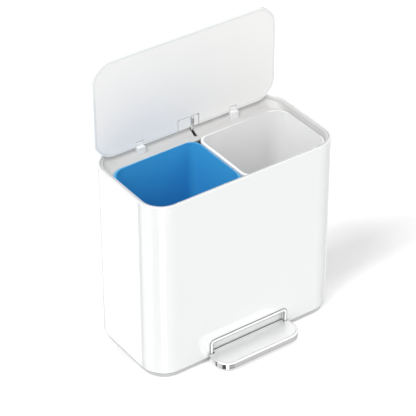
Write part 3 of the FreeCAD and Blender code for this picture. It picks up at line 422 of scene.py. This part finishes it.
class Surface(Enum):
    """Every finish on the bin."""

    ENAMEL = Enamel("white_enamel", "white_enamel", (0.92, 0.935, 0.93), 0.07, coat=1.0,
                    coat_roughness=0.02, tone=0.002, tone_size=220.0, gloss_drift=0.02,
                    relief=0.002, relief_size=2.6)
    TRIM = Finish("white_trim", "white_trim", (0.86, 0.87, 0.87), 0.16, coat=0.4, relief=0.003)
    FRAME = Finish("pedal_frame_gloss", "white_trim", (0.93, 0.94, 0.94), 0.1, coat=0.6,
                   relief=0.002)
    COLLAR = Grained("collar_grey", "grey_moulding", (0.64, 0.635, 0.63), 0.5, relief=0.01,
                     relief_size=0.7)
    # Painted light: the shutter is a lighter grey than the other grey mouldings, which makes up for
    # the shade it lies in behind the pedal frame.
    LIGHTENED_SHUTTER = Grained("shutter_grey_painted_light", "grey_moulding", (0.78, 0.783, 0.788), 0.4, relief=0.01,
                      relief_size=0.7)
    # Painted shade: the dark grey of thin strips that stand for the shadow in the gaps round the
    # pedal frame and under the shell.
    SHADE_STRIP = Grained("painted_shade_grey", "grey_moulding", (0.2, 0.2, 0.2), 0.5, relief=0.01,
                   relief_size=0.5)
    MOULDING = Grained("base_grey", "grey_moulding", (0.66, 0.663, 0.668), 0.4, relief=0.012,
                       relief_size=0.8)
    LINER = Finish("lid_liner", "liner_plastic", (0.965, 0.96, 0.945), 0.5, ior=1.35,
                   tone=0.002, tone_size=120.0, relief=0.003)
    BLUE = Finish("bucket_blue_satin", "blue_plastic", (0.058, 0.41, 0.78), 0.3, tone=0.03,
                  tone_size=90.0, relief=0.006, relief_size=1.1)
    WHITE = Finish("bucket_white_satin", "white_plastic", (0.92, 0.92, 0.925), 0.26,
                   tone_size=90.0, relief=0.006, relief_size=1.1)
    TREAD = Brushed("brushed_tread", "brushed_tread", (0.95, 0.95, 0.95), 0.5, metallic=1.0,
                    tone=0.04, gloss_drift=0.14, relief=0.004, relief_size=0.35)
    CHROME = Finish("polished_edge", "bright_steel", (0.94, 0.94, 0.945), 0.12, metallic=1.0,
                    tone=0.02, relief=0.001, relief_size=4.0)
    ZINC = Brushed("zinc_plate", "zinc_steel", (0.55, 0.56, 0.57), 0.36, metallic=1.0,
                   tone=0.15, gloss_drift=0.12, relief=0.004, relief_size=0.6,
                   stretch=(6.0, 6.0, 1.0))
    DARK = Grained("dark_moulding", "dark_plastic", (0.03, 0.03, 0.033), 0.45, tone=0.1,
                   relief=0.014)
    NYLON = Finish("nylon", "nylon", (0.78, 0.76, 0.7), 0.38, tone=0.02, relief=0.004)
    RUBBER = Grained("black_rubber", "rubber", (0.018, 0.018, 0.018), 0.72, tone=0.2,
                     tone_size=8.0, relief=0.03, relief_size=0.5)
    BUFFER = Grained("pale_rubber", "pale_rubber", (0.8, 0.8, 0.81), 0.6, tone=0.02,
                     tone_size=8.0, relief=0.02, relief_size=0.5)


# --- forms ----------------------------------------------------------------------------


@dataclass(frozen=True)
class Ring:
    """A rounded rectangle at one height. Radii run anticlockwise from front left."""

    left: float
    right: float
    front: float
    back: float
    radii: tuple[float, float, float, float]
    height: float

    def moved(self, inset: float, height: float) -> Ring:
        """The same ring drawn in all round, at another height."""
        radii = tuple(max(radius - inset, SHARP) for radius in self.radii)
        left, right = self.left + inset, self.right - inset
        return Ring(left, right, self.front + inset, self.back - inset, radii, height)


@dataclass(frozen=True)
class Band:
    """Where a strip of faces is cut across an axis, and how far it grows outwards."""

    axis: str
    low: float
    high: float
    thickness: float


class Form:
    """A mesh in the making, in millimetres."""

    def __init__(self) -> None:
        """Starts with nothing."""
        self.bm = bmesh.new()

    @classmethod
    def copied(cls, node: bpy.types.Object) -> Form:
        """A copy of a CAD node with its triangles joined into whole faces.

        Args:
            node: The CAD node's object.

        Returns:
            The form.
        """
        form = cls()
        form.bm.from_mesh(node.data)
        bmesh.ops.scale(form.bm, vec=(1 / MILLIMETRE,) * 3, verts=form.bm.verts)
        bmesh.ops.remove_doubles(form.bm, verts=form.bm.verts, dist=COPY_WELD)
        bmesh.ops.dissolve_limit(form.bm, angle_limit=FLAT_ANGLE, verts=form.bm.verts,
                                 edges=form.bm.edges, delimit=set())
        return form

    def ring(self, ring: Ring, filled: bool = False) -> list[bmesh.types.BMEdge]:
        """Draws one rounded rectangle.

        Args:
            ring: Its sizes.
            filled: Whether its face stays.

        Returns:
            Its edges.
        """
        before = set(self.bm.edges)
        places = (
            (ring.left, ring.front),
            (ring.right, ring.front),
            (ring.right, ring.back),
            (ring.left, ring.back),
        )
        verts = [
            bmesh.ops.create_vert(self.bm, co=(x, y, ring.height))["vert"][0] for x, y in places
        ]
        bmesh.ops.contextual_create(self.bm, geom=verts)
        for vert, radius in zip(verts, ring.radii):
            bmesh.ops.bevel(self.bm, geom=[vert], offset=radius, offset_type="OFFSET",
                            segments=CORNER_STEPS, profile=ARC_PROFILE, affect="VERTICES",
                            material=-1)
        edges = [edge for edge in self.bm.edges if edge not in before]
        if not filled:
            bmesh.ops.delete(self.bm, geom=[edges[0].link_faces[0]], context="FACES_ONLY")
        return edges

    def skin(self, rings: Sequence[Ring], rounds: Mapping[int, float], closed: bool = False,
             capped: bool = False) -> None:
        """Joins rings one to the next.

        Args:
            rings: The rings in order.
            rounds: Rounding radius by the number of the ring.
            closed: Whether the last ring joins the first.
            capped: Whether the first and last rings keep their faces.
        """
        ends = (0, len(rings) - 1)
        drawn = [self.ring(ring, capped and i in ends) for i, ring in enumerate(rings)]
        for here, there in zip(drawn, drawn[1:] + drawn[:1] if closed else drawn[1:]):
            bmesh.ops.bridge_loops(self.bm, edges=here + there)
        for number, radius in rounds.items():
            self.soften(drawn[number], radius, RING_STEPS)

    def soften(self, edges: Iterable[bmesh.types.BMEdge], radius: float,
               steps: int = EDGE_STEPS) -> None:
        """Rounds edges.

        Args:
            edges: The edges.
            radius: How far the rounding reaches to each side.
            steps: Number of faces across it.
        """
        whole = [edge for edge in edges if edge.is_valid and len(edge.link_faces) == 2]
        bmesh.ops.bevel(self.bm, geom=whole, offset=radius, offset_type="OFFSET",
                        segments=steps, profile=ARC_PROFILE, affect="EDGES", material=-1,
                        clamp_overlap=True)

    def creases(self, wanted: Test) -> list[bmesh.types.BMEdge]:
        """Sharp edges whose two ends pass a test."""
        return [edge for edge in self.bm.edges
                if len(edge.link_faces) == 2 and edge.calc_face_angle(0.0) > CREASE_ANGLE
                and wanted(edge.verts[0].co, edge.verts[1].co)]

    def cut(self, axis: str, place: float, outwards: int = 1, trimmed: bool = False) -> None:
        """Cuts every face at a plane across an axis.

        Args:
            axis: The axis.
            place: Where the plane stands.
            outwards: 1 if what lies beyond the plane is further along the axis, or else -1.
            trimmed: Whether what lies beyond it goes.
        """
        normal = Vector([float(letter == axis) for letter in "xyz"])
        geom = [*self.bm.verts, *self.bm.edges, *self.bm.faces]
        bmesh.ops.bisect_plane(self.bm, geom=geom, dist=CUT_TOLERANCE, plane_co=normal * place,
                               plane_no=normal * outwards, clear_outer=trimmed)

    def close(self) -> None:
        """Fills every hole."""
        open_edges = [edge for edge in self.bm.edges if edge.is_boundary]
        bmesh.ops.holes_fill(self.bm, edges=open_edges, sides=0)

    def strip(self, band: Band, wanted: Test) -> None:
        """Keeps a band of the faces that run along its axis, and grows it outwards.

        Args:
            band: Where it is cut and how far it grows.
            wanted: A test on a face's normal and middle.
        """
        spare = [face for face in self.bm.faces
                 if abs(getattr(face.normal, band.axis)) >= ALONG
                 or not wanted(face.normal, face.calc_center_median())]
        bmesh.ops.delete(self.bm, geom=spare, context="FACES")
        self.cut(band.axis, band.high, 1, trimmed=True)
        self.cut(band.axis, band.low, -1, trimmed=True)
        bmesh.ops.solidify(self.bm, geom=self.bm.faces[:], thickness=-band.thickness)

    def cast(self, name: str, recalculate: bool = True) -> bpy.types.Object:
        """Makes the object.

        Args:
            name: The piece's name.
            recalculate: Whether the faces are turned outwards.

        Returns:
            The object, at the origin, with its place in its mesh.
        """
        bmesh.ops.remove_doubles(self.bm, verts=self.bm.verts, dist=CAST_WELD)
        if recalculate:
            bmesh.ops.recalc_face_normals(self.bm, faces=self.bm.faces)
        bmesh.ops.scale(self.bm, vec=(MILLIMETRE,) * 3, verts=self.bm.verts)
        for face in self.bm.faces:
            face.smooth = True
        for edge in self.bm.edges:
            edge.smooth = edge.calc_face_angle(0.0) < CREASE_ANGLE
        mesh = bpy.data.meshes.new(name)
        self.bm.to_mesh(mesh)
        self.bm.free()
        piece = bpy.data.objects.new(name, mesh)
        bpy.context.scene.collection.objects.link(piece)
        even = piece.modifiers.new("even_shading", "WEIGHTED_NORMAL")
        even.keep_sharp = True
        even.weight = SHADING_WEIGHT
        return piece


class Workshop:
    """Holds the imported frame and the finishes, and hands pieces over to the frame."""

    def __init__(self, frame: Mapping[str, Any]) -> None:
        """Builds every finish once.
        """
        self.nodes: Mapping[str, bpy.types.Object] = frame["nodes"]
        self.materials = {surface: surface.value.build() for surface in Surface}

    def dress(self, surface: Surface, *nodes: str) -> None:
        """Gives CAD nodes a finish."""
        for name in nodes:
            for slot in self.nodes[name].material_slots:
                slot.material = self.materials[surface]
            LOG.info("dressed %s in %s", name, surface.value.name)

    def hand_over(self, piece: bpy.types.Object, surface: Surface, body: str,
                  *stands_for: str) -> None:
        """Finishes a piece and ties it to a body.

        Args:
            piece: The piece.
            surface: Its finish.
            body: The CAD body that it moves with.
            stands_for: CAD nodes that it replaces.
        """
        piece.data.materials.append(self.materials[surface])
        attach(piece, body)
        if stands_for:
            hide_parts(*stands_for)
        LOG.info("made %s on %s", piece.name, body)

    def soft_copy(self, node: str, name: str, surface: Surface, body: str, radius: float,
                  wanted: Test | None = None) -> None:
        """Replaces a CAD node by a copy with rounded edges.

        Args:
            node: The CAD node.
            name: The new piece's name.
            surface: Its finish.
            body: Its CAD body.
            radius: The rounding.
            wanted: A test on an edge's two ends. All sharp edges are rounded without it.
        """
        form = Form.copied(self.nodes[node])
        form.soften(form.creases(wanted or (lambda start, end: True)), radius)
        self.hand_over(form.cast(name, recalculate=False), surface, body, node)


# --- the bin --------------------------------------------------------------------------


@dataclass(frozen=True)
class Outline:
    """The housing's outline, which the rim and the shell share."""

    half: float = 225.0
    front: float = -88.75
    back: float = 143.25
    corner: float = 54.0

    def ring(self, inset: float, height: float) -> Ring:
        """The outline drawn in, at a height."""
        whole = Ring(-self.half, self.half, self.front, self.back, (self.corner,) * 4, 0.0)
        return whole.moved(inset, height)


@dataclass(frozen=True)
class PedalFrame:
    """The frame round the pedal opening, and which of its edges and faces are worked on.

    Spread says how far out a place is: 1 on the frame's outer outline.
    """

    half: float = 95.5
    top: float = 54.0
    face: float = -91.2
    shell_face: float = -88.7
    rounding: float = 1.0
    rounded_spread: float = 0.9
    outer_spread: float = 0.97
    inner_spread: float = 0.96
    underside: float = -0.5
    opening_half: float = 90.3
    opening_top: float = 48.8
    opening_low: float = 7.0

    def spread(self, place: Vector) -> float:
        """How far out on the frame a place is."""
        return max(abs(place.x) / self.half, place.z / self.top)

    def is_rounded(self, start: Vector, end: Vector) -> bool:
        """Whether an edge is on the frame's face, or in front of the shell and far out.

        Args:
            start: One end of the edge.
            end: Its other end.

        Returns:
            Whether it is.
        """
        rearmost = max(start.y, end.y)
        least = min(self.spread(start), self.spread(end))
        return rearmost < self.face or (rearmost < self.shell_face and least > self.rounded_spread)

    def is_outside(self, normal: Vector, middle: Vector) -> bool:
        """Whether a face is on the outer outline and doesn't look down.

        Args:
            normal: The face's normal.
            middle: Its middle.

        Returns:
            Whether it is.
        """
        return self.spread(middle) > self.outer_spread and normal.z > self.underside

    def is_inside(self, _normal: Vector, middle: Vector) -> bool:
        """Whether a face lines the opening.

        Args:
            _normal: The face's normal, which doesn't matter here.
            middle: Its middle.

        Returns:
            Whether it does.
        """
        return (self.spread(middle) < self.inner_spread and abs(middle.x) < self.opening_half
                and self.opening_low < middle.z < self.opening_top)


@dataclass(frozen=True)
class Housing:
    """Painted shell, rim, base and the frame round the pedal opening."""

    outline: Outline = field(default_factory=Outline)
    frame: PedalFrame = field(default_factory=PedalFrame)
    rim_top: float = 418.0
    rim_low: float = 415.0
    rim_width: float = 4.5
    rim_outer_round: float = 1.9
    rim_inner_round: float = 1.3
    skirt_inset: float = 1.1
    lip_low: float = 392.0
    lip_top: float = 395.0
    lip_inset: float = 7.3
    base_round: float = 0.5
    base_round_top: float = 15.2
    base_centre: float = 27.0
    # Bands of the dark strips of painted shade, which stand for the shadow in the gaps round the
    # pedal frame and under the shell.
    frame_shade_strip: Band = Band("y", -90.4, -88.6, 0.9)
    opening_shade_strip: Band = Band("y", -90.6, -88.0, 1.2)
    base_shade_strip: Band = Band("z", 14.0, 15.0, 0.3)

    def build(self, shop: Workshop) -> None:
        """Makes and dresses the housing's pieces."""
        shop.dress(Surface.ENAMEL, "body_shell")
        shop.hand_over(self.rim(), Surface.TRIM, "housing", "top_rim")
        shop.soft_copy("base_tray", "base_ring", Surface.MOULDING, "housing", self.base_round,
                       lambda start, end: max(start.z, end.z) < self.base_round_top)
        shop.soft_copy("pedal_frame", "pedal_bezel", Surface.FRAME, "housing",
                       self.frame.rounding, self.frame.is_rounded)
        self.add_shade_strips(shop)
        shop.dress(Surface.MOULDING, "bucket_shelf", "rod_channel")
        shop.dress(Surface.RUBBER, "rubber_feet", "stop_pads")
        shop.dress(Surface.ZINC, "shelf_screws")

    def add_shade_strips(self, shop: Workshop) -> None:
        """Dark grey strips of painted shade outside and inside the pedal's frame, and under the
        shell.
        """
        shade_strips = (
            ("frame_shade_strip", "pedal_frame", self.frame_shade_strip, self.frame.is_outside),
            ("opening_shade_strip", "pedal_frame", self.opening_shade_strip, self.frame.is_inside),
            ("base_shade_strip", "base_tray", self.base_shade_strip, self.is_flange),
        )
        for name, node, band, wanted in shade_strips:
            form = Form.copied(shop.nodes[node])
            form.strip(band, wanted)
            shop.hand_over(form.cast(name), Surface.SHADE_STRIP, "housing")

    def is_flange(self, normal: Vector, middle: Vector) -> bool:
        """Whether a face of the base tray is low enough and looks away from its centre.

        Args:
            normal: The face's normal.
            middle: Its middle.

        Returns:
            Whether it is.
        """
        out = Vector((middle.x, middle.y - self.base_centre))
        return middle.z < self.base_shade_strip.high and out.dot(normal.xy) > 0.0

    def rim(self) -> bpy.types.Object:
        """A ring with a rounded top, a skirt inside the shell and a lip for the collar."""
        section = (
            (0.0, self.rim_low),
            (0.0, self.rim_top),
            (self.rim_width, self.rim_top),
            (self.rim_width, self.lip_top),
            (self.lip_inset, self.lip_top),
            (self.lip_inset, self.lip_low),
            (self.skirt_inset, self.lip_low),
            (self.skirt_inset, self.rim_low),
        )
        rounds = {1: self.rim_outer_round, 2: self.rim_inner_round}
        form = Form()
        form.skin([self.outline.ring(*point) for point in section], rounds, closed=True)
        return form.cast("rim")


@dataclass(frozen=True)
class Collar:
    """Grey moulding between the rim and the buckets, with the hinge brackets."""

    rounding: float = 0.5
    bracket_rounding: float = 0.7

    def build(self, shop: Workshop) -> None:
        """Makes and dresses the collar's pieces."""
        shop.soft_copy("inner_collar", "collar", Surface.COLLAR, "housing", self.rounding)
        for side in ("left", "right"):
            shop.soft_copy(f"hinge_bracket_{side}", f"hinge_tab_{side}", Surface.TRIM, "housing",
                           self.bracket_rounding)
            shop.dress(Surface.ZINC, f"hinge_pin_{side}")
        shop.dress(Surface.ZINC, "hinge_screws")
        shop.dress(Surface.BUFFER, "collar_bumpers")


@dataclass(frozen=True)
class Bucket:
    """One lift-out bucket with a rolled rim and a rounded floor."""

    name: str
    node: str
    surface: Surface
    near: float
    far: float
    front: float = -74.75
    back: float = 96.25
    low: float = 84.0
    top: float = 404.0
    end_corner: float = 36.0
    split_corner: float = 22.0
    taper: float = 9.0
    wall: float = 2.0
    floor: float = 2.5
    roll: float = 2.0
    roll_drop: float = 7.0
    floor_round: float = 7.0
    foot_round: float = 6.0
    mouth_round: float = 1.2
    rim_round: float = 1.8
    hem_round: float = 0.4

    def ring(self, inset: float, height: float) -> Ring:
        """The bucket's outline drawn in, with the tighter corners towards the middle."""
        end, split = (corner / (1 + inset / corner)
                      for corner in (self.end_corner, self.split_corner))
        left_side = self.far < 0
        radii = (end, split, split, end) if left_side else (split, end, end, split)
        left, right = sorted((self.near, self.far))
        front, back = self.front + inset, self.back - inset
        return Ring(left + inset, right - inset, front, back, radii, height)

    def build(self, shop: Workshop) -> None:
        """Makes the bucket from its foot, over the rim, down to its floor."""
        foot = self.roll + self.taper
        under = self.top - self.roll_drop
        neck = self.roll + self.taper * self.roll_drop / (self.top - self.low)
        rings = [
            self.ring(foot, self.low),
            self.ring(neck, under),
            self.ring(0.0, under),
            self.ring(0.0, self.top),
            self.ring(self.roll + self.wall, self.top),
            self.ring(foot + self.wall, self.low + self.floor),
        ]
        rounds = {
            5: self.floor_round,
            0: self.foot_round,
            4: self.mouth_round,
            3: self.rim_round,
            2: self.hem_round,
        }
        form = Form()
        form.skin(rings, rounds, capped=True)
        shop.hand_over(form.cast(self.name), self.surface, "housing", self.node)


@dataclass(frozen=True)
class Lid:
    """Painted pan, flat liner and the plate with the rod's slot."""

    face: float = 125.25
    plate_left: float = -22.0
    plate_right: float = 29.0
    plate_top: float = 439.1
    plate_gap: float = 1.1
    plate_depth: float = 1.0
    plate_corner: float = 4.0
    plate_corner_steps: int = 6
    plate_rounding: float = 0.4

    def build(self, shop: Workshop) -> None:
        """Makes and dresses the lid's pieces."""
        shop.dress(Surface.ENAMEL, "lid_shell")
        shop.dress(Surface.LINER, "lid_liner")
        shop.hand_over(self.plate(shop.nodes["rod_plate"]), Surface.LINER, "lid", "rod_plate")

    def plate(self, node: bpy.types.Object) -> bpy.types.Object:
        """The rod's plate with an open joint round it, round upper corners and soft edges."""
        form = Form.copied(node)
        sides = (
            ("x", self.plate_left, 1),
            ("x", self.plate_right, -1),
            ("z", self.plate_top, -1),
        )
        for vert in form.bm.verts:
            for axis, edge, inward in sides:
                if abs(getattr(vert.co, axis) - edge) < TOUCHING:
                    setattr(vert.co, axis, edge + inward * self.plate_gap)
        top = self.plate_top - self.plate_gap - TOUCHING
        upper = form.creases(lambda start, end: min(start.z, end.z) > top
                             and abs(start.y - end.y) > self.plate_depth)
        form.soften(upper, self.plate_corner, self.plate_corner_steps)
        front = form.creases(lambda start, end: max(start.y, end.y) < self.face + TOUCHING)
        form.soften(front, self.plate_rounding)
        return form.cast("slot_plate", recalculate=False)


@dataclass(frozen=True)
class Pedal:
    """Brushed tread with a polished rolled edge, and what carries it."""

    half: float = 100.5
    front: float = -143.25
    back: float = -93.85
    corner: float = 29.0
    top: float = 23.7
    low: float = 10.7
    sheet: float = 1.2
    sheet_drop: float = 0.15
    wall: float = 2.4
    crease_front: float = 6.4
    crease_side: float = 2.6
    crease_width_front: float = 1.5
    crease_width_side: float = 0.6
    crease_depth: float = 1.7
    sheet_clearance: float = 1.0
    nose_round: float = 2.0
    hem_round: float = 0.5
    tongue_half: float = 87.0
    tongue_back: float = -84.25
    shutter_rounding: float = 0.4

    def ring(self, side: float, front: float, height: float, back: float | None = None) -> Ring:
        """The tread's outline drawn in, square at its back, or round at a back further off."""
        corner = max(self.corner - min(side, front), SHARP)
        rear = SHARP if back is None else corner
        return Ring(side - self.half, self.half - side, self.front + front,
                    self.back if back is None else back, (corner, corner, rear, rear), height)

    def build(self, shop: Workshop) -> None:
        """Makes and dresses the pedal's pieces, the rod and the damper."""
        shop.hand_over(self.plate(), Surface.TREAD, "pedal", "pedal_tread")
        shop.hand_over(self.edge(), Surface.CHROME, "pedal", "pedal_tread")
        shop.dress(Surface.DARK, "pedal_core")
        shop.soft_copy("pedal_shutter", "shutter", Surface.LIGHTENED_SHUTTER, "pedal",
                       self.shutter_rounding)
        shop.dress(Surface.ZINC, "lever_arm_left", "lever_arm_right", "lever_crossbar",
                   "pedal_rivets", "lever_axle", "axle_clips")
        shop.dress(Surface.NYLON, "lever_bushes", "rod_foot", "damper_tip")
        shop.dress(Surface.CHROME, "push_rod", "damper_piston")
        shop.dress(Surface.DARK, "damper_bracket", "damper_cylinder")

    def plate(self) -> bpy.types.Object:
        """Flat sheet inside the rolled edge, with a tongue through the opening."""
        form = Form()
        outline = self.ring(self.crease_side, self.crease_front, self.top - self.sheet_drop)
        form.ring(outline, filled=True)
        for side in (-1, 1):
            form.cut("x", side * self.tongue_half)
        rear = [edge for edge in form.bm.edges
                if all(vert.co.y > self.back - TOUCHING
                       and abs(vert.co.x) < self.tongue_half + TOUCHING for vert in edge.verts)]
        grown = bmesh.ops.extrude_edge_only(form.bm, edges=rear)["geom"]
        verts = [item for item in grown if isinstance(item, bmesh.types.BMVert)]
        bmesh.ops.translate(form.bm, vec=(0, self.tongue_back - self.back, 0), verts=verts)
        bmesh.ops.recalc_face_normals(form.bm, faces=form.bm.faces)
        bmesh.ops.solidify(form.bm, geom=form.bm.faces[:], thickness=self.sheet)
        return form.cast("tread_plate")

    def edge(self) -> bpy.types.Object:
        """Rolled front edge and skirt of the tread."""
        shoulder = (
            self.crease_side - self.crease_width_side,
            self.crease_front - self.crease_width_front,
            self.top,
        )
        section = (
            (0.0, 0.0, self.low),
            (0.0, 0.0, self.top),
            shoulder,
            (self.crease_side, self.crease_front, self.top - self.crease_depth),
            (self.wall, self.wall, self.top - self.sheet - self.sheet_clearance),
            (self.wall, self.wall, self.low),
        )
        form = Form()
        far = self.back + 2 * self.corner
        rings = [self.ring(*point, back=far - point[1]) for point in section]
        form.skin(rings, {1: self.nose_round, 0: self.hem_round}, closed=True)
        form.cut("y", self.back, trimmed=True)
        form.close()
        return form.cast("tread_edge")


# --- studio ---------------------------------------------------------------------------


@dataclass(frozen=True)
class Lamp:
    """A soft rectangular lamp aimed at a point."""

    name: str
    place: Triple
    target: Triple
    width: float
    height: float
    watts: float

    def hang(self) -> None:
        """Adds the lamp to the scene."""
        data = bpy.data.lights.new(self.name, "AREA")
        data.shape = "RECTANGLE"
        data.size = self.width
        data.size_y = self.height
        data.energy = self.watts
        lamp = bpy.data.objects.new(self.name, data)
        lamp.location = self.place
        aim = Vector(self.target) - Vector(self.place)
        lamp.rotation_euler = aim.to_track_quat("-Z", "Y").to_euler()
        bpy.context.scene.collection.objects.link(lamp)


@dataclass(frozen=True)
class Viewpoint:
    """The photograph's camera."""

    place: Triple = (-1.87415, -2.60907, 2.54712)
    azimuth: float = -35.14
    elevation: float = 35.08
    roll: float = -0.13
    focal_pixels: float = 1974.6
    frame_pixels: float = 416.0
    sensor: float = 36.0

    def set_up(self) -> None:
        """Adds the camera and makes it the scene's own."""
        data = bpy.data.cameras.new("photograph")
        data.sensor_width = self.sensor
        data.lens = self.focal_pixels / self.frame_pixels * self.sensor
        camera = bpy.data.objects.new("photograph", data)
        turn, rise = math.radians(self.azimuth), math.radians(self.elevation)
        level = math.cos(rise)
        back = Vector((math.sin(turn) * level, -math.cos(turn) * level, math.sin(rise)))
        right = Vector((0, 0, 1)).cross(back).normalized()
        axes = Matrix((right, back.cross(right), back)).transposed()
        spin = Matrix.Rotation(math.radians(self.roll), 3, "Z")
        camera.matrix_world = Matrix.Translation(self.place) @ (axes @ spin).to_4x4()
        bpy.context.scene.collection.objects.link(camera)
        bpy.context.scene.camera = camera


@dataclass(frozen=True)
class Studio:
    """White floor, a sky that is brighter at the front left, a soft panel and a far key lamp.

    Gloss sees strips of bright card and dark felt round the bin, given by their direction.
    The cards go once round, and the horizon and the ceiling go from straight down to
    straight up. The floor's stops go one metre along Y, from floor_shift in front of 0.
    """

    floor_half: float = 6.0
    floor_colour: Colour = (0.86, 0.86, 0.86)
    floor_tone: float = 0.995
    floor_spots: float = 900.0
    floor_lift: float = 0.19
    # Painted light: the floor glows more in front of and behind the bin, which fades the pedal's
    # shadow and the far part of the bin's shadow.
    floor_shadow_fade_lift: float = 0.6
    floor_shift: float = 0.6
    floor_shadow_fade: Stops = ((0.0, 1.0), (0.45, 1.0), (0.6, 0.0), (0.66, 0.0), (0.84, 1.0))
    sky_low: float = 0.44
    sky_slope: float = 0.66
    sky_from: Triple = (-0.3, -0.88, 0.38)
    card_gain: float = 2.5
    card_above: float = 1.3
    cards: Stops = (
        (0.0, 0.32), (0.036, 0.3), (0.046, 0.04), (0.126, 0.04), (0.136, 0.9), (0.183, 0.9),
        (0.194, 0.2), (0.3, 0.2), (0.34, 0.28), (0.5, 0.24), (0.56, 0.36), (0.76, 0.36),
        (0.8, 0.7), (0.846, 0.7), (0.856, 0.06), (0.9, 0.06), (0.909, 0.38), (1.0, 0.32),
    )
    horizon: Stops = (
        (0.178, 0.75), (0.2, 1.0), (0.38, 1.0), (0.44, 0.2), (0.54, 0.2), (0.62, 1.0),
    )
    ceiling: Stops = ((0.5, 0.0), (0.58, 1.0))
    viewpoint: Viewpoint = field(default_factory=Viewpoint)
    sun_from: Triple = (-0.6, -0.14, 0.788)
    sun_strength: float = 1.28
    sun_softness: float = 24.0
    panel: Lamp = Lamp("panel_right", (1.45, -2.05, 1.75), (0.0, -0.1, 0.0), 1.3, 1.3, 3.5)

    def build(self) -> None:
        """Sets up floor, sky, lamps and camera."""
        bpy.context.scene.view_settings.view_transform = "Standard"
        self.lay_floor()
        self.hang_sky()
        self.panel.hang()
        self.hang_sun()
        self.viewpoint.set_up()

    def hang_sun(self) -> None:
        """A broad far lamp at the left, which throws the soft shadow to the right."""
        data = bpy.data.lights.new("far_key", "SUN")
        data.energy = self.sun_strength
        data.angle = math.radians(self.sun_softness)
        sun = bpy.data.objects.new("far_key", data)
        sun.rotation_euler = Vector(self.sun_from).to_track_quat("Z", "Y").to_euler()
        bpy.context.scene.collection.objects.link(sun)

    def lay_floor(self) -> None:
        """A pale floor that keeps the shadow, glows for the camera and is clear to gloss."""
        form = Form()
        size = self.floor_half / MILLIMETRE
        bmesh.ops.create_grid(form.bm, x_segments=1, y_segments=1, size=size)
        floor = form.cast("floor", recalculate=False)
        recipe = Recipe(bpy.data.materials.new("studio_floor"))
        low = tuple(part * self.floor_tone for part in self.floor_colour)
        grain = recipe.blend(recipe.noise(self.floor_spots), low, self.floor_colour)
        path = recipe.node("ShaderNodeLightPath")
        matt = recipe.node("ShaderNodeBsdfDiffuse", None, {"Color": grain})
        seen = recipe.read(path, "Is Camera Ray")
        parts = recipe.node("ShaderNodeSeparateXYZ", None, {0: recipe.place()})
        # Painted light: the glow rises by place, in front of and behind the bin, to fade the shadow
        # there.
        far = recipe.ramp(recipe.read(parts, "Y") + self.floor_shift, self.floor_shadow_fade)
        glow = (far * (self.floor_shadow_fade_lift - self.floor_lift) + self.floor_lift) * seen
        lift = recipe.node("ShaderNodeEmission", None, {"Color": glow})
        addends = {0: recipe.read(matt), 1: recipe.read(lift)}
        both = recipe.node("ShaderNodeAddShader", None, addends)
        clear = recipe.node("ShaderNodeBsdfTransparent")
        glossy = recipe.read(path, "Is Glossy Ray")
        shares = {0: glossy, 1: recipe.read(both), 2: recipe.read(clear)}
        recipe.surface(recipe.node("ShaderNodeMixShader", None, shares))
        floor.data.materials.append(recipe.owner)

    def hang_sky(self) -> None:
        """A soft sky that is white to the camera, with cards and felt in its reflections."""
        world = bpy.data.worlds.new("studio_sky")
        bpy.context.scene.world = world
        recipe = Recipe(world)
        heading = recipe.read(recipe.node("ShaderNodeTexCoord"), "Generated")
        parts = recipe.node("ShaderNodeSeparateXYZ", None, {0: heading})
        across, along, up = (recipe.read(parts, axis) for axis in "XYZ")
        directions = {0: heading, 1: self.sky_from}
        leaning = recipe.node("ShaderNodeVectorMath", {"operation": "DOT_PRODUCT"}, directions)
        soft = recipe.read(leaning, "Value").greatest(0.0) * self.sky_slope + self.sky_low
        rise = up * 0.5 + 0.5
        cards = recipe.ramp(along.turn_to(across), self.cards) * self.card_gain
        above = recipe.ramp(rise, self.ceiling)
        mirrored = cards.towards(self.card_above, above) * recipe.ramp(rise, self.horizon)
        path = recipe.node("ShaderNodeLightPath")
        seen = recipe.read(path, "Is Camera Ray").greatest(recipe.read(path, "Is Transmission Ray"))
        strength = soft.towards(mirrored, recipe.read(path, "Is Glossy Ray")).towards(1.0, seen)
        colour = {"Color": (1.0, 1.0, 1.0), "Strength": strength}
        sky = recipe.node("ShaderNodeBackground", None, colour)
        recipe.node("ShaderNodeOutputWorld", None, {"Surface": recipe.read(sky)})


def main() -> None:
    """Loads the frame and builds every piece."""
    logging.basicConfig(level=logging.INFO, format="%(name)s: %(message)s")
    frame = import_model()
    Studio().build()
    shop = Workshop(frame)
    assemblies = (
        Housing(),
        Collar(),
        Bucket("blue_bucket", "bucket_blue", Surface.BLUE, near=-2.0, far=-211.0),
        Bucket("white_bucket", "bucket_white", Surface.WHITE, near=2.0, far=211.0),
        Lid(),
        Pedal(),
    )
    for assembly in assemblies:
        assembly.build(shop)


if __name__ == "__main__":
    main()
